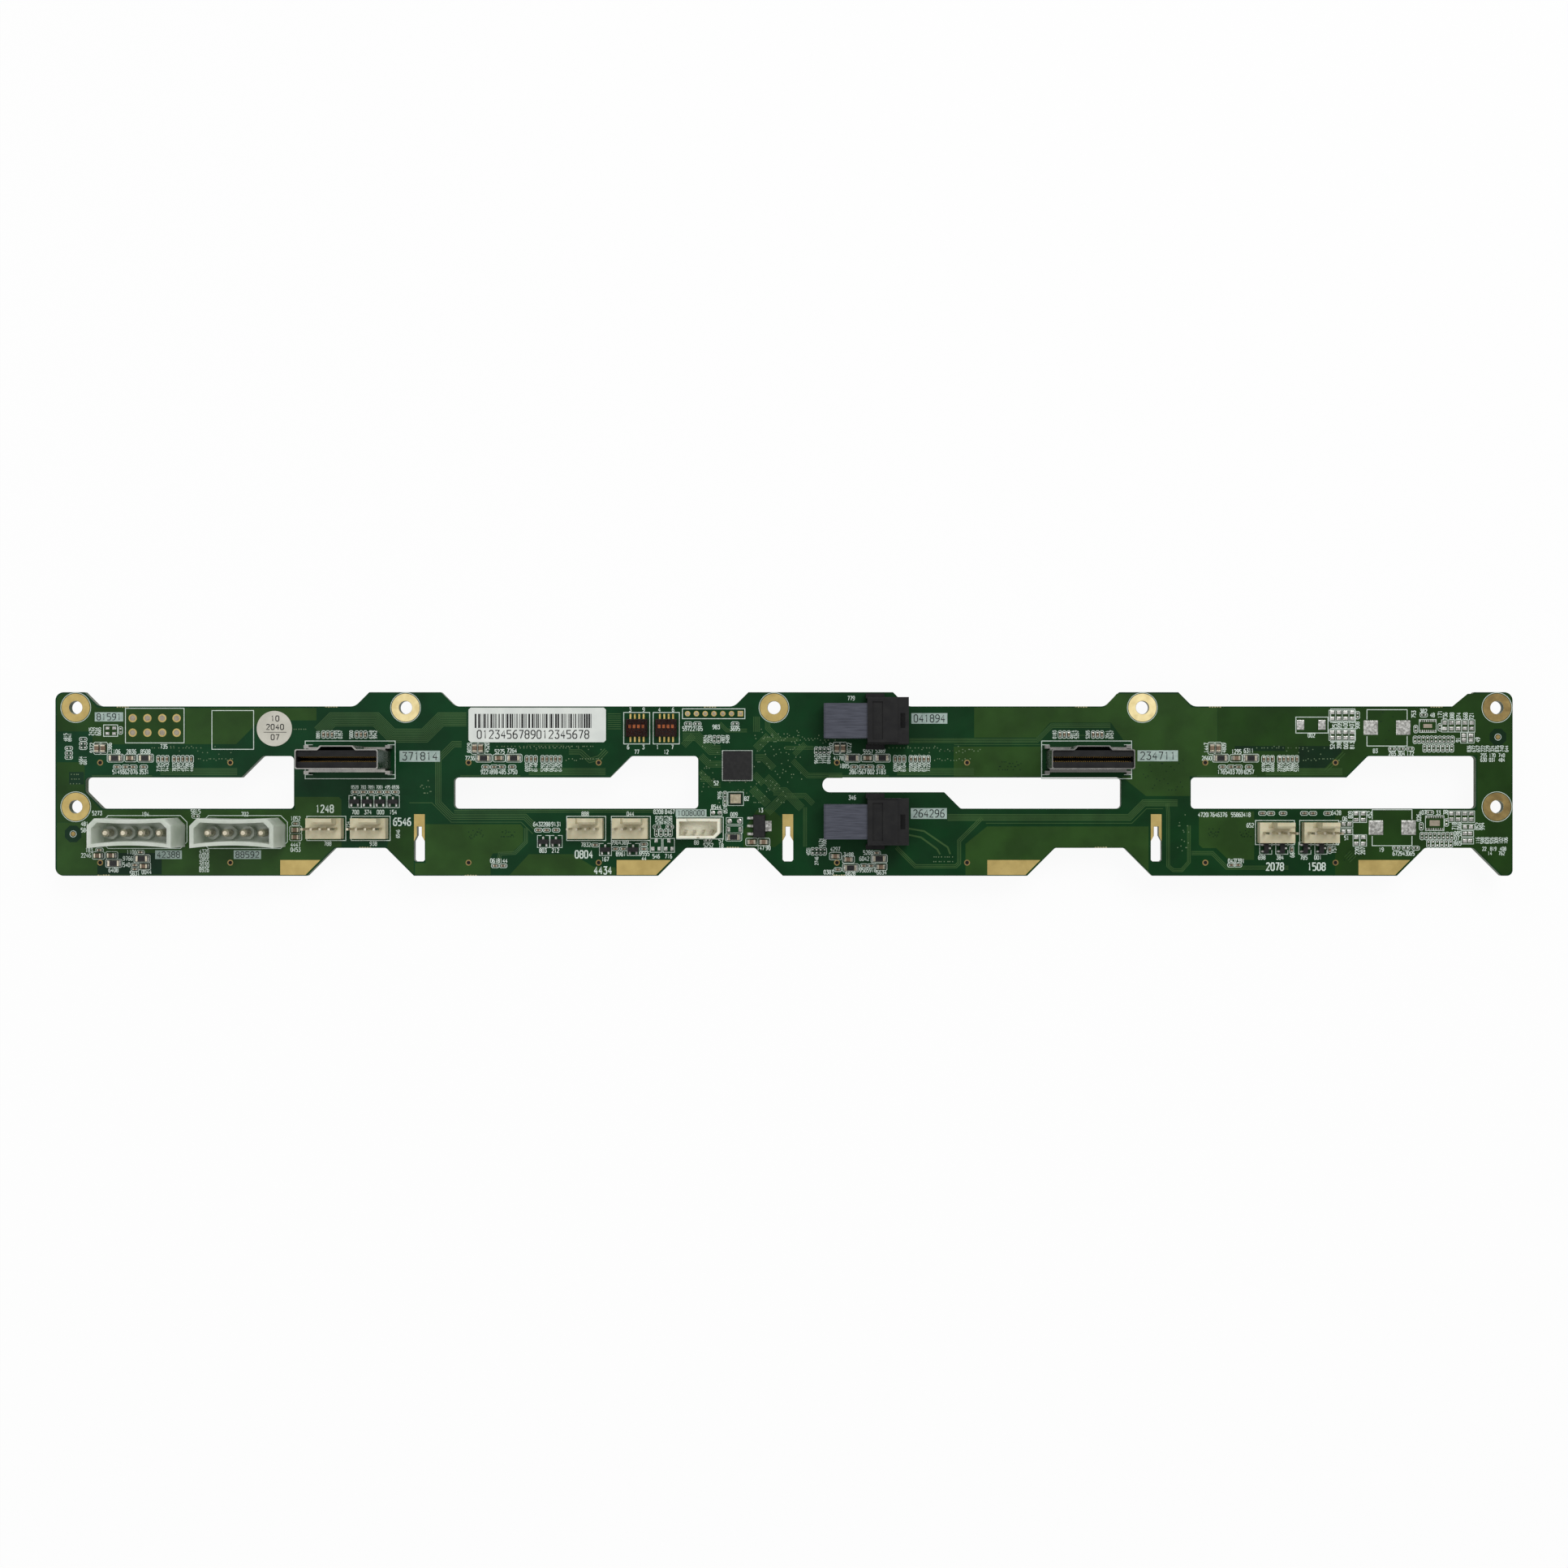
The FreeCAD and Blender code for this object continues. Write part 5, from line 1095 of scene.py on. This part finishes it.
def print_notes():
    notes(bay_1, HIGH, 90, [(11.6, "44", -10.0, -8.8), (4.9, "44", -5.6, -4.4),
        (13.3, "444", -2.7, -1.5, -0.3)], SMALL_NUMBER)
    notes(bay_1, HIGH, 0, [(8.95, "3", 18.4)])
    notes(bay_1, LOW, 0, [(-1.3, "4", -0.9), (-4.4, "3", -4.5), (-6.2, "3", -4.5),
        (-1.6, "33", 13.05, 41.8), (-0.8, "4", 27.6), (-12.0, "3", -3.2), (-13.5, "4", -4.1),
        (-17.75, "4", 3.85), (-12.55, "4", 9.1), (-14.4, "4", 8.0), (-16.2, "3", 7.6),
        (-18.7, "4", 10.0), (-18.3, "4", 13.4), (-2.85, "4", 56.45), (-10.4, "4", 56.45),
        (-11.85, "4", 56.45)])
    notes(bay_1, LOW, 0, [(-12.35 - 1.33 * row, "4", 30.05) for row in range(5)])
    for x, y in port_centres:
        notes(x, y, 90, [(7.3, "444444", -9.3, -4.0, -2.8, 0.3, 6.0, 7.2)], SMALL_NUMBER)
    notes(bay_2, LOW, 0, [(6.25, "434434", -32.85, -30.4, -28.1, -25.7, -23.4, -21.1)], 0.85)
    notes(bay_2, LOW, 0, [(-1.0, "3333", -32.7, -29.1, -25.45, -21.8),
        (-10.1, "33", -40.7, -27.5), (-1.5, "33", 33.7, 46.75), (-4.5, "434", 20.1, 22.6, 25.35),
        (-12.1, "33", 21.5, 25.1), (-10.4, "4", 33.9), (-14.6, "3", 39.5),
        (-9.75, "43", 42.6, 45.2), (-13.1, "4", 44.0), (-15.05, "34", 7.3, 9.8),
        (-13.0, "4", 50.85), (-14.45, "2", 50.7), (-0.9, "44", 54.85, 58.15),
        (-13.75, "33", 54.2, 57.75)])
    notes(bay_2, LOW, 90, [(-4.6, "3", -34.8), (-7.3, "4", -20.4),
        (-3.3, "4444", 54.5, 55.7, 57.1, 58.3)], SMALL_NUMBER)
    notes(bay_2, HIGH, 0, [(19.6, "1111", 46.7, 50.6, 55.15, 59.1),
        (8.8, "1111", 46.1, 50.5, 54.6, 58.9), (7.4, "22", 48.6, 57.1), (14.1, "44", 63.2, 66.2)])
    notes(bay_3, HIGH, 0, [(14.6, "3", -34.9), (14.1, "4", -29.45), (-1.6, "2", -34.9),
        (22.9, "3", 4.1), (3.35, "4", 2.1), (-6.1, "2", -26.1)])
    notes(bay_3, HIGH, 90, [(11.1, "4444", -38.0, -36.75, -32.85, -31.6),
        (5.2, "4444", -6.0, -4.8, -3.6, -2.4)], SMALL_NUMBER)
    notes(bay_3, LOW, 0, [(0.5, "4", -34.9), (-9.8, "2", -40.6), (-10.6, "4", -37.15),
        (-1.7, "3", -29.75), (-9.3, "2", -33.5), (-10.7, "2", -33.5), (-0.45, "2", -22.05),
        (-11.35, "32", -22.05, -19.9), (3.2, "3", 4.4), (-11.7, "4", -0.5), (-13.3, "4", 3.35),
        (-18.35, "4", -2.4), (-18.7, "4", 3.9), (-12.7, "4", 9.0), (-14.45, "4", 7.9),
        (-17.75, "34", 7.5, 10.0), (-18.4, "4", 12.9)])
    notes(bay_3, LOW, 90, [(3.8, "4", -33.9), (-0.2, "4", -32.2), (-12.35, "4", -8.3),
        (-9.8, "44", -4.7, -3.6), (-15.1, "4", -5.9)], SMALL_NUMBER)
    notes(bay_4, LOW, 0, [(-1.75, "44444", -0.7, 2.0, 4.9, 8.85, 11.65), (-1.2, "4", 37.8),
        (-4.8, "3", 12.95), (-9.9, "3", 37.5), (-14.1, "3333", 16.3, 21.55, 28.45, 32.5),
        (-15.1, "34", 7.6, 9.9), (-2.9, "2", 40.3), (-8.45, "2", 40.8), (-11.85, "2", 50.85),
        (-12.95, "333", 55.15, 57.3, 59.4), (-1.1, "3", 62.8), (-1.2, "2", 67.3),
        (-7.15, "3", 72.9), (-8.6, "2", 72.7), (-10.0, "3", 72.9)])
    notes(bay_4, LOW, 90, [(-13.4, "2", 25.1), (-11.85, "3", 37.2), (-1.75, "33", 41.9, 47.4),
        (-12.2, "33", 43.9, 45.5), (-2.6, "3", 61.7), (-1.1, "2", 69.4),
        (-5.1, "3333", 71.9, 73.3, 78.7, 80.0)])
    notes(bay_4, HIGH, 0, [(12.2, "3", 30.65), (7.7, "2", 49.1), (6.95, "333", 54.0, 56.6, 59.2),
        (19.2, "3", 63.0), (18.05, "2", 65.6)])
    notes(bay_4, HIGH, 90, [(15.1, "33333", 37.35, 38.8, 40.5, 42.25, 43.9),
        (9.3, "3333", 36.7, 38.65, 40.6, 42.4), (18.25, "33", 60.2, 67.8),
        (17.7, "33333", 69.3, 71.25, 73.2, 75.15, 76.9), (10.9, "22", 73.05, 78.7)])
    notes(bay_4, HIGH, 90, [(8.3, "3" * 9, *(76.2 + 1.35 * i for i in range(9)))], 1.0)
    notes(bay_4, HIGH, 0, [(up, "333", 80.4, 82.9, 85.6) for up in (6.4, 5.1)], 1.0)
    notes(bay_4, LOW, 90, [(-9.2, "3" * 7, *(78.7 + 1.35 * i for i in range(7)))], 1.0)
    notes(bay_4, LOW, 0, [(-11.6, "233", 80.6, 83.2, 86.0), (-12.9, "23", 82.2, 85.6)], 1.0)
    notes(bay_1, LOW, 0, [(-0.05, "4", 64.9)], LARGE_NUMBER)
    notes(bay_2, LOW, 0, [(-3.8, "4", -19.2), (-13.2, "4", 33.3), (-17.85, "4", 38.8)],
        LARGE_NUMBER)
    notes(bay_4, LOW, 0, [(-16.75, "44", 20.1, 32.15)], LARGE_NUMBER)


def print_transistor_frames():
    """Frames round the small transistors' leads, open above the single lead."""
    for box in islands("transistor_bodies"):
        x, y = middle(box)
        upright = box[1][1] - box[0][1] > box[1][0] - box[0][0]
        path = [(0.55, 1.75), (1.75, 1.75), (1.75, -1.75), (-1.75, -1.75), (-1.75, 1.75),
                (-0.55, 1.75)]
        if upright:
            path = [(v, -u) for u, v in path]
        silk.strip([(x + u, y + v) for u, v in path], FINE_LINE, SUNK, SILK)


print_label_boxes()
print_outlines()
print_part_outlines()
print_transistor_frames()
print_column_notes()
print_notes()
silk.make("silk_print", [silk_ink])
blocks.make("silk_label_boxes", [block_ink, print_black])

# ------------------------------------------------------------------ label and round sticker
stickers = Pile()
LABEL_PAPER, STICKER_PAPER, PRINT = range(3)
PRINT_LIFT = 0.012
LABEL_CORNER = 0.6
BAR_WIDTHS = (0.17, 0.17, 0.34, 0.5)
BAR_GAPS = (0.17, 0.17, 0.34, 0.5)
BARS_TOP, BARS_BOTTOM = 1.8, 5.9       # below the label's upper edge
BARS_LEFT, BARS_RIGHT = 1.8, 4.2       # from the label's ends


def dress_stickers():
    label, sticker = sorted(islands("paper_labels"), key=lambda box: box[0][0] - box[1][0])
    (x0, y0, _), (x1, y1, z1) = label
    top = z1 - TOP
    stickers.prism(rectangle(x0, y0, x1, y1, LABEL_CORNER), SUNK, top, LABEL_PAPER)
    bars = random.Random(11)
    x = x0 + BARS_LEFT
    while x < x1 - BARS_RIGHT:
        width = bars.choice(BAR_WIDTHS)
        stickers.block(x, y1 - BARS_BOTTOM, x + width, y1 - BARS_TOP, top - PRINT_LIFT,
                       top + PRINT_LIFT, PRINT)
        x += width + bars.choice(BAR_GAPS)
    write_number(stickers, "0123456789012345678", (x0 + x1) / 2 - 1.2, y0 + 2.25, 2.3, 0,
                 0.75, 0.13, PRINT, top + PRINT_LIFT, top - PRINT_LIFT)
    x, y = middle(sticker)
    radius = (sticker[1][0] - sticker[0][0]) / 2
    stickers.round(x, y, [(radius, SUNK), (radius, top)], 48, STICKER_PAPER)
    stickers.block(x - 3.1, y - 1.15, x + 3.5, y - 1.0, top - PRINT_LIFT, top + PRINT_LIFT, PRINT)
    for number, up, height in (("10", 2.9, 1.5), ("2040", 0.45, 1.5), ("07", -2.5, 1.5)):
        write_number(stickers, number, x + 0.2, y + up, height, 0, 0.9, 0.17, PRINT,
                     top + PRINT_LIFT, top - PRINT_LIFT)


dress_stickers()
stickers.make("paper_label_faces", [paper, sticker_paper, print_black],
              ["paper_labels"])

# ------------------------------------------------------------------ chip parts
BODY, CAP, SOLDER, MARK = range(4)


def oriented(pile, x, y, upright, x0, y0, x1, y1, low, high, finish_index):
    """A block in a part's own axes: x runs along the part."""
    if upright:
        x0, y0, x1, y1 = y0, x0, y1, x1
    pile.block(x + x0, y + y0, x + x1, y + y1, low, high, finish_index)


def set_chip_part(pile, box, cap, marked):
    """Body, metal ends and the solder that climbs them."""
    x, y = middle(box)
    length, width = box[1][0] - box[0][0], box[1][1] - box[0][1]
    height = box[1][2] - TOP
    upright = width > length
    half, side = max(length, width) / 2, min(length, width) / 2
    oriented(pile, x, y, upright, cap - half, -side + 0.02, half - cap, side - 0.02, 0.03,
             height - 0.02, BODY)
    if marked:
        oriented(pile, x, y, upright, cap - half + 0.02, -side + 0.06, half - cap - 0.02,
                 side - 0.06, height - 0.04, height, MARK)
    for way in (-1, 1):
        oriented(pile, x, y, upright, way * (half - cap), -side, way * half, side, 0.02, height,
                 CAP)
        climb = 0.7 * height
        reach = 0.55 * cap + 0.12
        section = [(half - 0.02, SUNK), (half + reach, SUNK), (half + reach, 0.05),
                   (half + 0.3 * reach, 0.35 * climb), (half - 0.02, climb)]
        loops = []
        for across in (-side - 0.06, side + 0.06):
            loop = [(way * u, across, z) for u, z in section]
            if upright:
                loop = [(v, u, z) for u, v, z in loop]
            loops.append([(x + u, y + v, z) for u, v, z in loop])
        if (way == 1) != upright:
            loops = loops[::-1]
        pile.loops(loops, SOLDER)


for name, cap, looks, slot, bevel in (
        ("capacitors", 0.42, [ceramic_tan, pin_tin, solder], "ceramic_tan", 0.05),
        ("resistors", 0.5, [alumina, pin_tin, solder, resistor_black], "chip_black", 0.03),
        ("small_chip_parts", 0.22, [ceramic_tan, pin_tin, solder], "ceramic_tan", 0.025)):
    chips = Pile()
    for box in islands(name):
        set_chip_part(chips, box, cap, MARK < len(looks))
    chips.make(f"{name}_dressed", looks, [name], bevel)

# ------------------------------------------------------------------ finishes of the CAD solids
finishes = {
    "board": (mask, 0.0), "controller_chip": (chip_black, 0.05),
    "oscillator_base": (chip_black, 0.04), "oscillator_lid": (lid_metal, 0.06),
    "regulator_body": (chip_black, 0.08), "regulator_leads": (solder, 0.04),
    "transistor_bodies": (chip_black, 0.06), "transistor_leads": (solder, 0.04),
    "dip_switch_leads": (gold, 0.03), "dip_switch_films": (amber_film, 0.0),
    "fan_header_pins": (pin_tin, 0.06), "bus_header_housing": (white_nylon, 0.12),
    "bus_header_pins": (pin_tin, 0.06),
}
for n in (1, 2):
    finishes[f"power_header_{n}_housing"] = (natural_nylon, 0.15)
    finishes[f"power_header_{n}_pins"] = (pin_tin, 0.05)
    finishes[f"cable_port_{n}_shell"] = (steel, 0.08)
    finishes[f"cable_port_{n}_insulator"] = (black_plastic, 0.06)
    finishes[f"cable_port_{n}_contacts"] = (striped_gold, 0.0)
    finishes[f"side_port_{n}_housing"] = (black_plastic, 0.12)
    finishes[f"side_port_{n}_wafer_block"] = (wafer_metal, 0.25)
    finishes[f"dip_switch_{n}_base"] = (dip_body, 0.06)
    finishes[f"dip_switch_{n}_sliders"] = (slider_orange, 0.05)
for n in range(1, 9):
    finishes[f"drive_socket_{n}"] = (socket_plastic, 0.1)
for n in range(1, 7):
    finishes[f"fan_header_{n}_housing"] = (cream_nylon, 0.12)

for node, (look, bevel) in finishes.items():
    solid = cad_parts[node]
    solid.data.materials.clear()
    solid.data.materials.append(look)
    if bevel:
        soften(solid, bevel)

# ------------------------------------------------------------------ floor, light and camera
FLOOR_SIDE, FLOOR_LEVEL = 6.0, -0.0002         # in metres
SKY_STRENGTH = 0.46           # what lights the board; the camera sees plain white
CAMERA_HEIGHT = 500.0         # above the board's face
CAMERA_X = 17.4
FRAME_WIDTH = 453.1           # what the picture spans at the board's face
SENSOR = 36.0
FLOOR_GLOW = 0.93             # share of plain white in the floor that the camera sees


def background_rays(graph):
    """1 for rays that look at the background, from the camera or by way of metal or glass."""
    path = graph.add("ShaderNodeLightPath")
    total = path.outputs["Is Camera Ray"]
    for other in ("Is Glossy Ray", "Is Transmission Ray"):
        total = graph.math("MAXIMUM", total, path.outputs[other])
    return total


def make_floor():
    half = FLOOR_SIDE / 2
    mesh = bpy.data.meshes.new("floor")
    mesh.from_pydata([(x, y, FLOOR_LEVEL) for x, y in rectangle(-half, -half, half, half)], [],
                     [(0, 1, 2, 3)])
    floor = new_object("floor", mesh)
    graph = Graph("floor_white")
    graph.settle(Base_Color=(0.9, 0.9, 0.9, 1.0), Roughness=0.9, Specular_IOR_Level=0.1)
    glow = graph.add("ShaderNodeEmission").outputs[0]
    share = graph.math("MULTIPLY", background_rays(graph), FLOOR_GLOW)
    blend = graph.add("ShaderNodeMixShader")
    for number, source in enumerate((share, graph.shader.outputs[0], glow)):
        graph.link(source, blend.inputs[number])
    graph.link(blend.outputs[0], graph.tree.nodes["Material Output"].inputs["Surface"])
    mesh.materials.append(graph.material)


def make_world():
    world = bpy.data.worlds.new("studio")
    bpy.context.scene.world = world
    world.use_nodes = True
    tree = world.node_tree
    sky = tree.nodes["Background"]
    sky.inputs["Color"].default_value = (1.0, 1.0, 1.0, 1.0)
    strength = tree.nodes.new("ShaderNodeMapRange")
    strength.inputs["To Min"].default_value = SKY_STRENGTH
    strength.inputs["To Max"].default_value = 1.0
    path = tree.nodes.new("ShaderNodeLightPath")
    tree.links.new(path.outputs["Is Camera Ray"], strength.inputs["Value"])
    tree.links.new(strength.outputs["Result"], sky.inputs["Strength"])


def make_lamp(name, place, size, power):
    light = bpy.data.lights.new(name, "AREA")
    light.shape = "SQUARE"
    light.size = size
    light.energy = power
    lamp = new_object(name, light)
    lamp.location = place
    lamp.rotation_euler = lamp.location.to_track_quat("Z", "Y").to_euler()


def make_camera():
    camera = bpy.data.cameras.new("camera")
    camera.sensor_width = SENSOR
    camera.lens = SENSOR * CAMERA_HEIGHT / FRAME_WIDTH
    camera.shift_x = -CAMERA_X / FRAME_WIDTH
    camera.clip_start = 0.01
    viewer = new_object("camera", camera)
    viewer.location = (CAMERA_X * MM, 0.0, (TOP + CAMERA_HEIGHT) * MM)
    bpy.context.scene.camera = viewer


make_floor()
make_world()
make_lamp("key_light", (0.30, 0.55, 0.9), size=0.6, power=5.2)
make_lamp("fill_light", (-0.6, -0.2, 0.9), size=0.9, power=2.2)
make_camera()
bpy.context.scene.view_settings.view_transform = "Standard"
